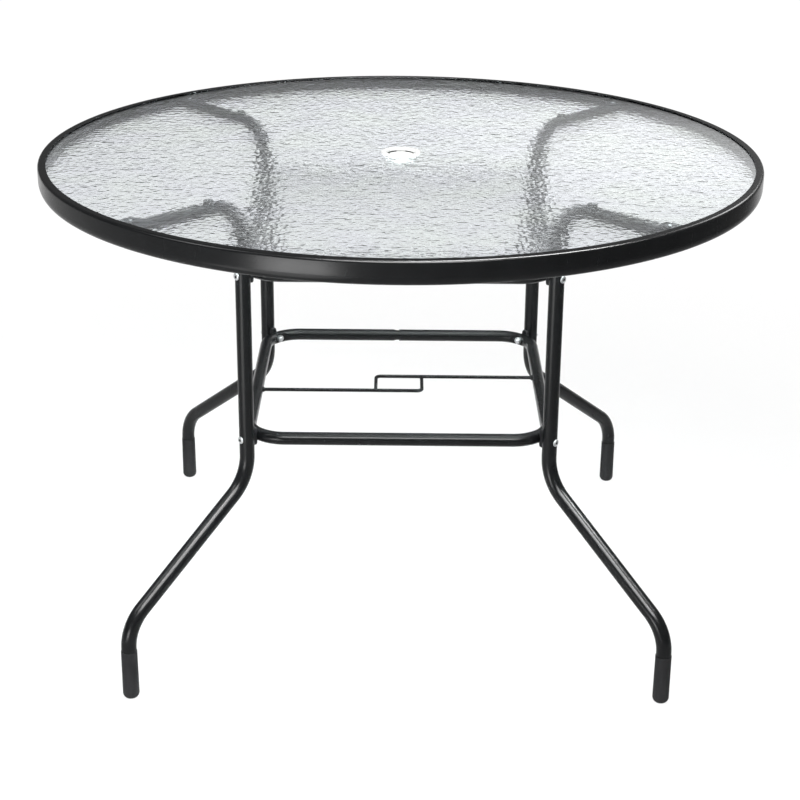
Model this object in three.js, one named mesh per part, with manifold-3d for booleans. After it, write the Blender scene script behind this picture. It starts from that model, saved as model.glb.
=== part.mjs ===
// Round garden table: a pebbled glass top held in a roll-formed steel rim, four bent tube legs,
// two square tube braces bolted between the legs, and wires that steady an umbrella pole.
// Millimetres, +Z up. The origin is on the floor, under the middle of the umbrella hole.
import * as THREE from 'three';
import { mergeVertices } from 'three/addons/utils/BufferGeometryUtils.js';
import Module from 'manifold-3d';

const wasm = await Module();
wasm.setup();

// Driving dimensions of the whole table
const TABLE_DIAMETER = 1066.8;
const TABLE_HEIGHT = 711.2;
const FIT_GAP = 0.3;
const CUT_OVERRUN = 2;

// Rim, one steel strip rolled into a G section: lip, outer wall, tucked bottom, inner wall, ledge
const RIM_SHEET = 1;
const RIM_HEIGHT = 33;
const RIM_LIP_WIDTH = 12;
const RIM_EDGE_RADIUS = 4;
const RIM_TUCK_HEIGHT = 12;
const RIM_TUCK_DEPTH = 6.3;
const RIM_SEAM_GAP = 1.9;
const RIM_FACETS = 56;
const RIM_EDGE_STEPS = 2;
const RIM_TUCK_STEPS = 2;

// Glass, held in the groove of the rim
const GLASS_THICKNESS = 5;
const GLASS_EDGE_GAP = 1.2;
const GLASS_LIP_GAP = 1;
const GLASS_ARRIS = 1;
const UMBRELLA_HOLE_RADIUS = 24;
const UMBRELLA_HOLE_FACETS = 24;

// Umbrella ring, a white bush that lifts out of the hole in the glass
const RING_BORE_RADIUS = 21;
const RING_FLANGE_RADIUS = 29.5;
const RING_FLANGE_THICKNESS = 1.6;
const RING_FLANGE_ROUND = 0.8;
const RING_MOUTH_CHAMFER = 1.2;
const RING_NECK_LENGTH = 19;
const RING_NECK_TAPER = 1.1;
const RING_NECK_STRAIGHT = 8;
const RING_FACETS = 24;

// Legs, round tube bent in one plane: arm under the glass, post, slanted shin, foot
const LEG_TUBE_RADIUS = 11;
const LEG_TUBE_WALL = 1.2;
const LEG_TUBE_SIDES = 12;
const LEG_BORE_SIDES = 6;
const POST_CIRCLE_RADIUS = 312;
const FOOT_CIRCLE_RADIUS = 540;
const SHIN_TOP_HEIGHT = 277;
const SHIN_BOTTOM_HEIGHT = 114;
const ARM_BEND_RADIUS = 52;
const KNEE_BEND_RADIUS = 70;
const ANKLE_BEND_RADIUS = 65;
const ARM_END_GAP = 0.5;
const LEG_BEND_STEPS = 4;

// Rubber pads that carry the glass on the arms
const PAD_THICKNESS = 3;
const PAD_RADIUS = 7;
const PAD_SKIRT = 2.5;
const PAD_CIRCLE_RADIUS = 369;
const PAD_FACETS = 12;

// Foot caps, plastic sleeves with a rounded flat-bottomed end
const CAP_HEIGHT = 76;
const CAP_WALL = 0.9;
const CAP_MOUTH_WALL = 0.4;
const CAP_FLOOR = 5;
const CAP_FLAT_RADIUS = 8;
const CAP_ROUND_HEIGHT = 6;
const CAP_FACETS = 16;

// Braces, square rings of round tube with one slip joint at the middle of the back bar
const BRACE_TUBE_RADIUS = 9.5;
const BRACE_TUBE_WALL = 1;
const BRACE_TUBE_SIDES = 12;
const BRACE_BORE_SIDES = 6;
const BRACE_HALF_SIDE = 220;
const BRACE_BEND_STEPS = 4;
const LOWER_BRACE_HEIGHT = 338.5;
const UPPER_BRACE_DROP = 123.2;
const SLIP_JOINT_DEPTH = 20;
const SOCKET_LENGTH = 24;
const NECK_SHOWN_LENGTH = 4;
const NECK_TAPER_LENGTH = 6;
const JOIN_OVERLAP = 2;

// Flats pressed into the inner side of the brace corners, for the nuts to bear on
const PRESS_DEPTH = 4.4;
const PRESS_HALF_LENGTH = 7;
const PRESS_RAMP_LENGTH = 11;
const PRESS_RAMP_RISE = 9;

// Saddles, plastic spacers between a leg and the corner of a brace
const SADDLE_WEB = 2.5;
const SADDLE_WIDTH = 11;
const SADDLE_HEIGHT = 28;
const SADDLE_CORNER_RADIUS = 4;
const SADDLE_LEG_WRAP = 2;
const SADDLE_BRACE_WRAP = 2;

// Bolts and nuts, a metric 6 size
const BOLT_RADIUS = 2.95;
const BOLT_HOLE_RADIUS = 3.3;
const BOLT_HEAD_RADIUS = 5.3;
const BOLT_HEAD_HEIGHT = 2.4;
const BOLT_HEAD_RIM = 1.1;
const BOLT_CROWN_RADIUS = 3.6;
const BOLT_CROWN_DROP = 0.2;
const BOLT_SOCKET_RADIUS = 2.3;
const BOLT_SOCKET_DEPTH = 1.4;
const BOLT_END_PROUD = 2;
const BOLT_FACETS = 8;
const HOLE_FACETS = 8;
const NUT_ACROSS_CORNERS = 11.5;
const NUT_THICKNESS = 5;

// Rim brackets, angle tabs that carry the rim on the ends of the arms
const BRACKET_SHEET = 2;
const BRACKET_WIDTH = 22;
const BRACKET_TONGUE_LENGTH = 34;
const BRACKET_SCREW_INSET = 20;
const BRACKET_FOOT_GAP = 3;
const BRACKET_SCREW_PROUD = 0.4;

// Guide wires, two hooked wires that frame the umbrella pole inside the lower brace
const WIRE_RADIUS = 2.75;
const WIRE_SIDES = 8;
const WIRE_OFFSET = 30;
const WIRE_HOOK_OFFSET = 36;
const WIRE_BEND_RADIUS = 8;
const WIRE_BEND_STEPS = 3;

// Distance within which two vertices are the same vertex
const WELD_DISTANCE = 0.001;

// Sizes that follow from the ones above
const tableRadius = TABLE_DIAMETER / 2;
const rimInnerRadius = tableRadius - RIM_LIP_WIDTH;
const rimBottom = TABLE_HEIGHT - RIM_HEIGHT;
const glassRadius = tableRadius - RIM_SHEET - GLASS_EDGE_GAP;
const glassTop = TABLE_HEIGHT - RIM_SHEET - GLASS_LIP_GAP;
const glassBottom = glassTop - GLASS_THICKNESS;
const ledgeTop = glassBottom - FIT_GAP;
const armTop = glassBottom - PAD_THICKNESS - 2 * FIT_GAP;
const armHeight = armTop - LEG_TUBE_RADIUS;
const footTubeBottom = CAP_FLOOR + FIT_GAP;
const upperBraceHeight = TABLE_HEIGHT - UPPER_BRACE_DROP;

// The brace corner meets the saddle on the inner side of the post
const postInnerSide = POST_CIRCLE_RADIUS - LEG_TUBE_RADIUS;
const braceCornerCircle = postInnerSide - SADDLE_WEB - 2 * FIT_GAP - BRACE_TUBE_RADIUS;
const braceBendRadius = (Math.SQRT2 * BRACE_HALF_SIDE - braceCornerCircle) / (Math.SQRT2 - 1);
const braceBoreRadius = BRACE_TUBE_RADIUS - BRACE_TUBE_WALL;
const neckTaperStart = -NECK_SHOWN_LENGTH - NECK_TAPER_LENGTH;
const pressedFace = braceCornerCircle - BRACE_TUBE_RADIUS + PRESS_DEPTH;

// The flat back of a bracket stands clear of the faceted inner wall of the rim
const bracketSeatGap = FIT_GAP + (BRACKET_WIDTH / 2) * Math.tan(Math.PI / RIM_FACETS);
const bracketBack = rimInnerRadius - bracketSeatGap;
const bracketFace = bracketBack - BRACKET_SHEET;
const tongueBottom = armTop + FIT_GAP;
const tongueTop = tongueBottom + BRACKET_SHEET;
const bracketScrewCircle = bracketBack - BRACKET_SCREW_INSET;

const BLACK_PAINT = { color: 0x1d1f21, roughness: 0.32, metalness: 0.25 };
const CAP_PLASTIC = { color: 0x363738, roughness: 0.7, metalness: 0 };
const SADDLE_PLASTIC = { color: 0x17181a, roughness: 0.5, metalness: 0 };
const RUBBER = { color: 0x1b1b1b, roughness: 0.85, metalness: 0 };
const ZINC = { color: 0xc9ccd0, roughness: 0.28, metalness: 1 };
const WHITE_PLASTIC = { color: 0xf3f3f0, roughness: 0.35, metalness: 0 };
const PEBBLED_GLASS = { color: 0xdde8e6, roughness: 0.12, metalness: 0, transparent: true, opacity: 0.4 };

// A path of straight runs joined by arcs. Its stations lie where the tube bends,
// so that the straight runs cost no extra rings.
class BentPath extends THREE.Curve {
  constructor(corners, bendRadii, bendSteps) {
    super();
    this.stations = [corners[0].clone()];
    this.tangents = [corners[1].clone().sub(corners[0]).normalize()];
    bendRadii.forEach((radius, i) => {
      this.addBend(corners[i], corners[i + 1], corners[i + 2], radius, bendSteps);
    });
    const last = corners.length - 1;
    this.stations.push(corners[last].clone());
    this.tangents.push(corners[last].clone().sub(corners[last - 1]).normalize());
    this.steps = this.stations.length - 1;
  }

  addBend(before, corner, after, radius, bendSteps) {
    const into = corner.clone().sub(before).normalize();
    const out = after.clone().sub(corner).normalize();
    const turn = into.angleTo(out);
    const start = corner.clone().addScaledVector(into, -radius * Math.tan(turn / 2));
    const side = out.clone().addScaledVector(into, -out.dot(into)).normalize();
    for (let step = 0; step <= bendSteps; step += 1) {
      const angle = (turn * step) / bendSteps;
      const point = start.clone().addScaledVector(into, radius * Math.sin(angle));
      this.stations.push(point.addScaledVector(side, radius * (1 - Math.cos(angle))));
      const tangent = into.clone().multiplyScalar(Math.cos(angle));
      this.tangents.push(tangent.addScaledVector(side, Math.sin(angle)));
    }
  }

  stationAt(share) {
    return Math.round(share * this.steps);
  }

  getPoint(share, target = new THREE.Vector3()) {
    return target.copy(this.stations[this.stationAt(share)]);
  }

  getPointAt(share, target) {
    return this.getPoint(share, target);
  }

  getTangent(share, target = new THREE.Vector3()) {
    return target.copy(this.tangents[this.stationAt(share)]);
  }

  getTangentAt(share, target) {
    return this.getTangent(share, target);
  }

  getSpacedPoints() {
    return this.stations.map((point) => point.clone());
  }
}

// The mesh with shared vertices, without its flat triangles, and with its faces pointing out
function closedMesh(geometry) {
  const bare = new THREE.BufferGeometry();
  bare.setAttribute('position', geometry.getAttribute('position').clone());
  if (geometry.index) bare.setIndex(geometry.index.clone());
  const merged = mergeVertices(bare, WELD_DISTANCE);
  const source = merged.index.array;
  const position = merged.getAttribute('position');
  const corners = [new THREE.Vector3(), new THREE.Vector3(), new THREE.Vector3()];
  const kept = [];
  let volume = 0;
  for (let i = 0; i < source.length; i += 3) {
    const [a, b, c] = [source[i], source[i + 1], source[i + 2]];
    if (a === b || b === c || c === a) continue;
    [a, b, c].forEach((index, k) => corners[k].fromBufferAttribute(position, index));
    volume += corners[0].dot(corners[1].clone().cross(corners[2]));
    kept.push(a, b, c);
  }
  if (volume < 0) kept.reverse();
  merged.setIndex(kept);
  return merged;
}

function toSolid(geometry) {
  const mesh = closedMesh(geometry);
  return new wasm.Manifold(new wasm.Mesh({
    numProp: 3,
    vertProperties: new Float32Array(mesh.getAttribute('position').array),
    triVerts: new Uint32Array(mesh.index.array),
  }));
}

function toGeometry(solid) {
  const mesh = solid.simplify(WELD_DISTANCE).getMesh();
  const geometry = new THREE.BufferGeometry();
  geometry.setAttribute('position', new THREE.BufferAttribute(new Float32Array(mesh.vertProperties), 3));
  geometry.setIndex(new THREE.BufferAttribute(new Uint32Array(mesh.triVerts), 1));
  return geometry;
}

// A body less its cutters, all given as geometries
function cutAway(body, cutters) {
  return toGeometry(cutters.reduce((solid, cutter) => solid.subtract(toSolid(cutter)), toSolid(body)));
}

function overlapOf(body, other) {
  return toGeometry(toSolid(body).intersect(toSolid(other)));
}

function joined(bodies) {
  return toGeometry(bodies.map(toSolid).reduce((whole, solid) => whole.add(solid)));
}

function addPart(parent, name, geometry, finish) {
  const smooth = closedMesh(geometry);
  smooth.computeVertexNormals();
  const mesh = new THREE.Mesh(smooth, new THREE.MeshStandardMaterial({ ...finish, flatShading: true }));
  mesh.name = name;
  parent.add(mesh);
  return mesh;
}

function circlePoints(radius, sides, turn = 0) {
  return Array.from({ length: sides }, (_, i) => {
    const angle = turn + (2 * Math.PI * i) / sides;
    return new THREE.Vector2(radius * Math.cos(angle), radius * Math.sin(angle));
  });
}

// Points on a quarter of an ellipse about a centre, from one angle to another, in steps
function arcPoints(centre, radii, fromAngle, toAngle, steps) {
  return Array.from({ length: steps + 1 }, (_, i) => {
    const angle = fromAngle + ((toAngle - fromAngle) * i) / steps;
    return new THREE.Vector2(centre.x + radii.x * Math.cos(angle), centre.y + radii.y * Math.sin(angle));
  });
}

// The outline of a sheet whose middle follows the given points
function sheetOutline(middle, thickness) {
  const offsets = middle.map((point, i) => {
    const before = middle[Math.max(i - 1, 0)];
    const after = middle[Math.min(i + 1, middle.length - 1)];
    const into = (i === 0 ? after.clone().sub(point) : point.clone().sub(before)).normalize();
    const out = (i === middle.length - 1 ? into.clone() : after.clone().sub(point)).normalize();
    const normal = new THREE.Vector2(-into.y - out.y, into.x + out.x).normalize();
    const stretch = thickness / 2 / Math.abs(normal.dot(new THREE.Vector2(-into.y, into.x)));
    return normal.multiplyScalar(stretch);
  });
  const outer = middle.map((point, i) => point.clone().add(offsets[i]));
  const inner = middle.map((point, i) => point.clone().sub(offsets[i]));
  return [...outer, ...inner.reverse()];
}

// A profile of radius and height turned about +Z
function turned(profile, facets, closed) {
  const points = closed ? [...profile, profile[0].clone()] : profile;
  const geometry = new THREE.LatheGeometry(points, facets);
  return geometry.rotateX(Math.PI / 2);
}

function tubeAlong(path, outerRadius, sides, boreRadius = 0, boreSides = 0) {
  const section = new THREE.Shape(circlePoints(outerRadius, sides, Math.PI / sides));
  if (boreRadius > 0) {
    section.holes.push(new THREE.Path(circlePoints(boreRadius, boreSides, Math.PI / sides)));
  }
  return new THREE.ExtrudeGeometry(section, {
    steps: path.steps,
    bevelEnabled: false,
    extrudePath: path,
  });
}

// A round bar, turned so that its flats lie as those of a tube do
function barOfLength(radius, length, facets) {
  return new THREE.CylinderGeometry(radius, radius, length, facets).rotateY(Math.PI / facets);
}

// A bar along +X, from one place to another, at a height
function barAlongX(radius, fromX, toX, height, facets = HOLE_FACETS) {
  const bar = barOfLength(radius, toX - fromX, facets);
  return bar.rotateZ(Math.PI / 2).translate((fromX + toX) / 2, 0, height);
}

function barAlongZ(radius, fromZ, toZ, x, facets = HOLE_FACETS) {
  const bar = barOfLength(radius, toZ - fromZ, facets);
  return bar.rotateX(Math.PI / 2).translate(x, 0, (fromZ + toZ) / 2);
}

function rimGeometry() {
  const half = RIM_SHEET / 2;
  const wallRadius = tableRadius - half;
  const edgeCentre = new THREE.Vector2(tableRadius - RIM_EDGE_RADIUS, TABLE_HEIGHT - RIM_EDGE_RADIUS);
  const edgeRadii = new THREE.Vector2(RIM_EDGE_RADIUS - half, RIM_EDGE_RADIUS - half);
  const tuckCentre = new THREE.Vector2(wallRadius - RIM_TUCK_DEPTH, rimBottom + RIM_TUCK_HEIGHT);
  const tuckRadii = new THREE.Vector2(RIM_TUCK_DEPTH, RIM_TUCK_HEIGHT - half);
  const ledgeEnd = tableRadius - RIM_SHEET - RIM_SEAM_GAP;
  const middle = [
    new THREE.Vector2(rimInnerRadius, TABLE_HEIGHT - half),
    ...arcPoints(edgeCentre, edgeRadii, Math.PI / 2, 0, RIM_EDGE_STEPS),
    ...arcPoints(tuckCentre, tuckRadii, 0, -Math.PI / 2, RIM_TUCK_STEPS),
    new THREE.Vector2(rimInnerRadius + half, rimBottom + half),
    new THREE.Vector2(rimInnerRadius + half, ledgeTop - half),
    new THREE.Vector2(ledgeEnd, ledgeTop - half),
  ];
  return turned(sheetOutline(middle, RIM_SHEET), RIM_FACETS, true);
}

function glassGeometry() {
  const plate = new THREE.Shape(circlePoints(glassRadius - GLASS_ARRIS, RIM_FACETS));
  const holeRadius = UMBRELLA_HOLE_RADIUS + GLASS_ARRIS;
  plate.holes.push(new THREE.Path(circlePoints(holeRadius, UMBRELLA_HOLE_FACETS)));
  const geometry = new THREE.ExtrudeGeometry(plate, {
    depth: GLASS_THICKNESS - 2 * GLASS_ARRIS,
    bevelEnabled: true,
    bevelThickness: GLASS_ARRIS,
    bevelSize: GLASS_ARRIS,
    bevelSegments: 1,
  });
  return geometry.translate(0, 0, glassBottom + GLASS_ARRIS);
}

function umbrellaRingGeometry() {
  const neckRadius = UMBRELLA_HOLE_RADIUS * Math.cos(Math.PI / UMBRELLA_HOLE_FACETS) - FIT_GAP;
  const flangeBottom = glassTop + FIT_GAP;
  const flangeTop = flangeBottom + RING_FLANGE_THICKNESS;
  const neckBottom = flangeTop - RING_NECK_LENGTH;
  const profile = [
    new THREE.Vector2(RING_BORE_RADIUS, flangeTop - RING_MOUTH_CHAMFER),
    new THREE.Vector2(RING_BORE_RADIUS, neckBottom),
    new THREE.Vector2(neckRadius - RING_NECK_TAPER, neckBottom),
    new THREE.Vector2(neckRadius, flangeBottom - RING_NECK_STRAIGHT),
    new THREE.Vector2(neckRadius, flangeBottom),
    new THREE.Vector2(RING_FLANGE_RADIUS, flangeBottom),
    new THREE.Vector2(RING_FLANGE_RADIUS, flangeTop - RING_FLANGE_ROUND),
    new THREE.Vector2(RING_FLANGE_RADIUS - RING_FLANGE_ROUND, flangeTop),
    new THREE.Vector2(RING_BORE_RADIUS + RING_MOUTH_CHAMFER, flangeTop),
  ];
  return turned(profile, RING_FACETS, true);
}

// A leg lies in the XZ plane, with +X pointing from the middle of the table to the rim
function legGeometry() {
  const path = new BentPath([
    new THREE.Vector3(bracketFace - ARM_END_GAP, 0, armHeight),
    new THREE.Vector3(POST_CIRCLE_RADIUS, 0, armHeight),
    new THREE.Vector3(POST_CIRCLE_RADIUS, 0, SHIN_TOP_HEIGHT),
    new THREE.Vector3(FOOT_CIRCLE_RADIUS, 0, SHIN_BOTTOM_HEIGHT),
    new THREE.Vector3(FOOT_CIRCLE_RADIUS, 0, footTubeBottom),
  ], [ARM_BEND_RADIUS, KNEE_BEND_RADIUS, ANKLE_BEND_RADIUS], LEG_BEND_STEPS);
  const boreRadius = LEG_TUBE_RADIUS - LEG_TUBE_WALL;
  const tube = tubeAlong(path, LEG_TUBE_RADIUS, LEG_TUBE_SIDES, boreRadius, LEG_BORE_SIDES);
  const reach = LEG_TUBE_RADIUS + CUT_OVERRUN;
  const boltHoles = [LOWER_BRACE_HEIGHT, upperBraceHeight].map((height) => (
    barAlongX(BOLT_HOLE_RADIUS, POST_CIRCLE_RADIUS - reach, POST_CIRCLE_RADIUS + reach, height)
  ));
  const screwHole = barAlongZ(BOLT_HOLE_RADIUS, armHeight - reach, armHeight + reach, bracketScrewCircle);
  return cutAway(tube, [...boltHoles, screwHole]);
}

function footCapGeometry() {
  const boreRadius = LEG_TUBE_RADIUS + FIT_GAP;
  const outerRadius = boreRadius + CAP_WALL;
  const roundRadii = new THREE.Vector2(outerRadius - CAP_FLAT_RADIUS, CAP_ROUND_HEIGHT);
  const roundCentre = new THREE.Vector2(CAP_FLAT_RADIUS, CAP_ROUND_HEIGHT);
  const profile = [
    new THREE.Vector2(0, 0),
    ...arcPoints(roundCentre, roundRadii, -Math.PI / 2, 0, 3),
    new THREE.Vector2(boreRadius + CAP_MOUTH_WALL, CAP_HEIGHT),
    new THREE.Vector2(boreRadius, CAP_HEIGHT),
    new THREE.Vector2(boreRadius, CAP_FLOOR),
    new THREE.Vector2(0, CAP_FLOOR),
  ];
  return turned(profile, CAP_FACETS, false);
}

function padGeometry() {
  const padTop = glassBottom - FIT_GAP;
  const body = barAlongZ(PAD_RADIUS, armTop - PAD_SKIRT, padTop, PAD_CIRCLE_RADIUS, PAD_FACETS);
  const reach = PAD_RADIUS + CUT_OVERRUN;
  const arm = barAlongX(
    LEG_TUBE_RADIUS + FIT_GAP,
    PAD_CIRCLE_RADIUS - reach,
    PAD_CIRCLE_RADIUS + reach,
    armHeight,
    LEG_TUBE_SIDES,
  );
  return cutAway(body, [arm]);
}

// A button-head bolt on +Z, with the seat of its head at the origin and its shank below
function boltGeometry(shankLength) {
  const body = turned([
    new THREE.Vector2(0, -shankLength),
    new THREE.Vector2(BOLT_RADIUS, -shankLength),
    new THREE.Vector2(BOLT_RADIUS, 0),
    new THREE.Vector2(BOLT_HEAD_RADIUS, 0),
    new THREE.Vector2(BOLT_HEAD_RADIUS, BOLT_HEAD_RIM),
    new THREE.Vector2(BOLT_CROWN_RADIUS, BOLT_HEAD_HEIGHT - BOLT_CROWN_DROP),
    new THREE.Vector2(0, BOLT_HEAD_HEIGHT),
  ], BOLT_FACETS, false);
  const socket = new THREE.ExtrudeGeometry(new THREE.Shape(circlePoints(BOLT_SOCKET_RADIUS, 6)), {
    depth: BOLT_SOCKET_DEPTH + CUT_OVERRUN,
    bevelEnabled: false,
  });
  return cutAway(body, [socket.translate(0, 0, BOLT_HEAD_HEIGHT - BOLT_SOCKET_DEPTH)]);
}

function nutGeometry() {
  const hexagon = new THREE.Shape(circlePoints(NUT_ACROSS_CORNERS / 2, 6));
  hexagon.holes.push(new THREE.Path(circlePoints(BOLT_HOLE_RADIUS, HOLE_FACETS)));
  return new THREE.ExtrudeGeometry(hexagon, { depth: NUT_THICKNESS, bevelEnabled: false });
}

function bracketGeometry() {
  const halfWidth = BRACKET_WIDTH / 2;
  const tip = bracketBack - BRACKET_TONGUE_LENGTH;
  const plan = new THREE.Shape();
  plan.moveTo(bracketBack, -halfWidth);
  plan.lineTo(bracketBack, halfWidth);
  plan.lineTo(tip + halfWidth, halfWidth);
  plan.absarc(tip + halfWidth, 0, halfWidth, Math.PI / 2, (3 * Math.PI) / 2, false);
  plan.closePath();
  const screw = new THREE.Vector2(bracketScrewCircle, 0);
  const hole = circlePoints(BOLT_HOLE_RADIUS, HOLE_FACETS).map((point) => point.add(screw));
  plan.holes.push(new THREE.Path(hole));
  const tongue = new THREE.ExtrudeGeometry(plan, {
    depth: BRACKET_SHEET,
    bevelEnabled: false,
    curveSegments: 6,
  });
  tongue.translate(0, 0, tongueBottom);
  const plateBottom = rimBottom + BRACKET_FOOT_GAP;
  const plateHeight = tongueTop - plateBottom;
  const plate = new THREE.BoxGeometry(BRACKET_SHEET, BRACKET_WIDTH, plateHeight);
  plate.translate(bracketBack - BRACKET_SHEET / 2, 0, plateBottom + plateHeight / 2);
  return joined([tongue, plate]);
}

// The corner of a brace beside a leg, as a solid bar with some clearance, for cutting its seat
function braceCornerBar(clearance) {
  const cornerX = Math.SQRT2 * BRACE_HALF_SIDE;
  const run = braceBendRadius;
  const path = new BentPath([
    new THREE.Vector3(cornerX - run, -run, 0),
    new THREE.Vector3(cornerX, 0, 0),
    new THREE.Vector3(cornerX - run, run, 0),
  ], [braceBendRadius], BRACE_BEND_STEPS);
  return tubeAlong(path, BRACE_TUBE_RADIUS + clearance, BRACE_TUBE_SIDES);
}

function saddleGeometry() {
  const half = { width: SADDLE_WIDTH / 2, height: SADDLE_HEIGHT / 2 };
  const round = SADDLE_CORNER_RADIUS;
  const face = new THREE.Shape();
  face.moveTo(-half.width + round, -half.height);
  face.absarc(half.width - round, -half.height + round, round, -Math.PI / 2, 0, false);
  face.absarc(half.width - round, half.height - round, round, 0, Math.PI / 2, false);
  face.absarc(-half.width + round, half.height - round, round, Math.PI / 2, Math.PI, false);
  face.absarc(-half.width + round, -half.height + round, round, Math.PI, (3 * Math.PI) / 2, false);
  const inner = postInnerSide - FIT_GAP - SADDLE_WEB - SADDLE_BRACE_WRAP;
  const outer = postInnerSide + SADDLE_LEG_WRAP;
  const block = new THREE.ExtrudeGeometry(face, {
    depth: outer - inner,
    bevelEnabled: false,
    curveSegments: 2,
  });
  block.rotateX(Math.PI / 2).rotateZ(Math.PI / 2).translate(inner, 0, 0);
  const reach = half.height + CUT_OVERRUN;
  const post = barAlongZ(LEG_TUBE_RADIUS + FIT_GAP, -reach, reach, POST_CIRCLE_RADIUS, LEG_TUBE_SIDES);
  const hole = barAlongX(BOLT_HOLE_RADIUS, inner - CUT_OVERRUN, outer + CUT_OVERRUN, 0);
  return cutAway(block, [post, hole, braceCornerBar(FIT_GAP)]);
}

// A hollow profile turned about +X, with its flats lying as those of a brace tube do
function braceEnd(profile) {
  return turned(profile, BRACE_TUBE_SIDES, true).rotateY(Math.PI / 2).rotateX(Math.PI / BRACE_TUBE_SIDES);
}

// The right end of a brace tube, with its mouth at the origin
function socketGeometry() {
  return braceEnd([
    new THREE.Vector2(braceBoreRadius, 0),
    new THREE.Vector2(BRACE_TUBE_RADIUS, 0),
    new THREE.Vector2(BRACE_TUBE_RADIUS, SOCKET_LENGTH + JOIN_OVERLAP),
    new THREE.Vector2(braceBoreRadius, SOCKET_LENGTH + JOIN_OVERLAP),
  ]);
}

// The left end of a brace tube, necked down to slip into the mouth of the other
function neckGeometry() {
  const neckRadius = braceBoreRadius - FIT_GAP;
  const neckBoreRadius = neckRadius - BRACE_TUBE_WALL;
  const tubeEnd = neckTaperStart - JOIN_OVERLAP;
  return braceEnd([
    new THREE.Vector2(braceBoreRadius, tubeEnd),
    new THREE.Vector2(BRACE_TUBE_RADIUS, tubeEnd),
    new THREE.Vector2(BRACE_TUBE_RADIUS, neckTaperStart),
    new THREE.Vector2(neckRadius, -NECK_SHOWN_LENGTH),
    new THREE.Vector2(neckRadius, SLIP_JOINT_DEPTH),
    new THREE.Vector2(neckBoreRadius, SLIP_JOINT_DEPTH),
    new THREE.Vector2(neckBoreRadius, -NECK_SHOWN_LENGTH),
    new THREE.Vector2(braceBoreRadius, neckTaperStart),
  ]);
}

// The hollow that a press leaves on the inner side of a brace corner: a flat with a ramp at each end
function pressGeometry() {
  const rampEnd = PRESS_HALF_LENGTH + PRESS_RAMP_LENGTH;
  const plan = new THREE.Shape([
    new THREE.Vector2(pressedFace, -PRESS_HALF_LENGTH),
    new THREE.Vector2(pressedFace, PRESS_HALF_LENGTH),
    new THREE.Vector2(pressedFace - PRESS_RAMP_RISE, rampEnd),
    new THREE.Vector2(pressedFace - PRESS_RAMP_RISE, -rampEnd),
  ]);
  const reach = BRACE_TUBE_RADIUS + CUT_OVERRUN;
  return new THREE.ExtrudeGeometry(plan, { depth: 2 * reach, bevelEnabled: false }).translate(0, 0, -reach);
}

// The wall of the tube that the press has pushed in, as thick as the tube's own. Its edge lies
// halfway into the wall of the tube around it.
function pressedWallGeometry() {
  const behind = pressGeometry().translate(BRACE_TUBE_WALL, 0, 0);
  return cutAway(overlapOf(braceCornerBar(-BRACE_TUBE_WALL / 2), behind), [pressGeometry()]);
}

// A brace lies in the XY plane. Its two ends meet at the middle of the back bar,
// where the necked left end slips into the right end.
function braceGeometry() {
  const side = BRACE_HALF_SIDE;
  const path = new BentPath([
    new THREE.Vector3(SOCKET_LENGTH, side, 0),
    new THREE.Vector3(side, side, 0),
    new THREE.Vector3(side, -side, 0),
    new THREE.Vector3(-side, -side, 0),
    new THREE.Vector3(-side, side, 0),
    new THREE.Vector3(neckTaperStart, side, 0),
  ], [braceBendRadius, braceBendRadius, braceBendRadius, braceBendRadius], BRACE_BEND_STEPS);
  const tube = tubeAlong(path, BRACE_TUBE_RADIUS, BRACE_TUBE_SIDES, braceBoreRadius, BRACE_BORE_SIDES);
  const ends = [socketGeometry(), neckGeometry()].map((end) => end.translate(0, side, 0));
  const presses = CORNERS.map(({ azimuth }) => pressGeometry().rotateZ(azimuth));
  const walls = CORNERS.map(({ azimuth }) => pressedWallGeometry().rotateZ(azimuth));
  const whole = joined([cutAway(tube, presses), ...walls, ...ends]);
  const reach = BRACE_TUBE_RADIUS + CUT_OVERRUN;
  const holes = CORNERS.map(({ azimuth }) => (
    barAlongX(BOLT_HOLE_RADIUS, braceCornerCircle - reach, braceCornerCircle + reach, 0).rotateZ(azimuth)
  ));
  return cutAway(whole, holes);
}

// A guide wire runs in from one side of the brace, turns back past the pole, and its hook
// ends against the other guide wire
function guideWireGeometry() {
  const hookEnd = WIRE_OFFSET - WIRE_RADIUS - FIT_GAP;
  const path = new BentPath([
    new THREE.Vector3(BRACE_HALF_SIDE - BRACE_TUBE_RADIUS - FIT_GAP, WIRE_OFFSET, 0),
    new THREE.Vector3(-WIRE_HOOK_OFFSET, WIRE_OFFSET, 0),
    new THREE.Vector3(-WIRE_HOOK_OFFSET, -hookEnd, 0),
  ], [WIRE_BEND_RADIUS], WIRE_BEND_STEPS);
  return tubeAlong(path, WIRE_RADIUS, WIRE_SIDES);
}

const CORNERS = [
  { name: 'front_left', azimuth: (-3 * Math.PI) / 4 },
  { name: 'front_right', azimuth: -Math.PI / 4 },
  { name: 'back_right', azimuth: Math.PI / 4 },
  { name: 'back_left', azimuth: (3 * Math.PI) / 4 },
];

const BRACES = [
  { name: 'lower', height: LOWER_BRACE_HEIGHT },
  { name: 'upper', height: upperBraceHeight },
];

const GUIDE_WIRES = [
  { name: 'back_guide_wire', turn: 0 },
  { name: 'front_guide_wire', turn: Math.PI },
];

// Shapes that the four corners share
const nutSeat = pressedFace - FIT_GAP;
const boltSeat = POST_CIRCLE_RADIUS + LEG_TUBE_RADIUS + FIT_GAP;
const boltLength = boltSeat - nutSeat + NUT_THICKNESS + BOLT_END_PROUD;
const screwSeat = armHeight - LEG_TUBE_RADIUS - FIT_GAP;
const screwLength = tongueTop + BRACKET_SCREW_PROUD - screwSeat;

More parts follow.
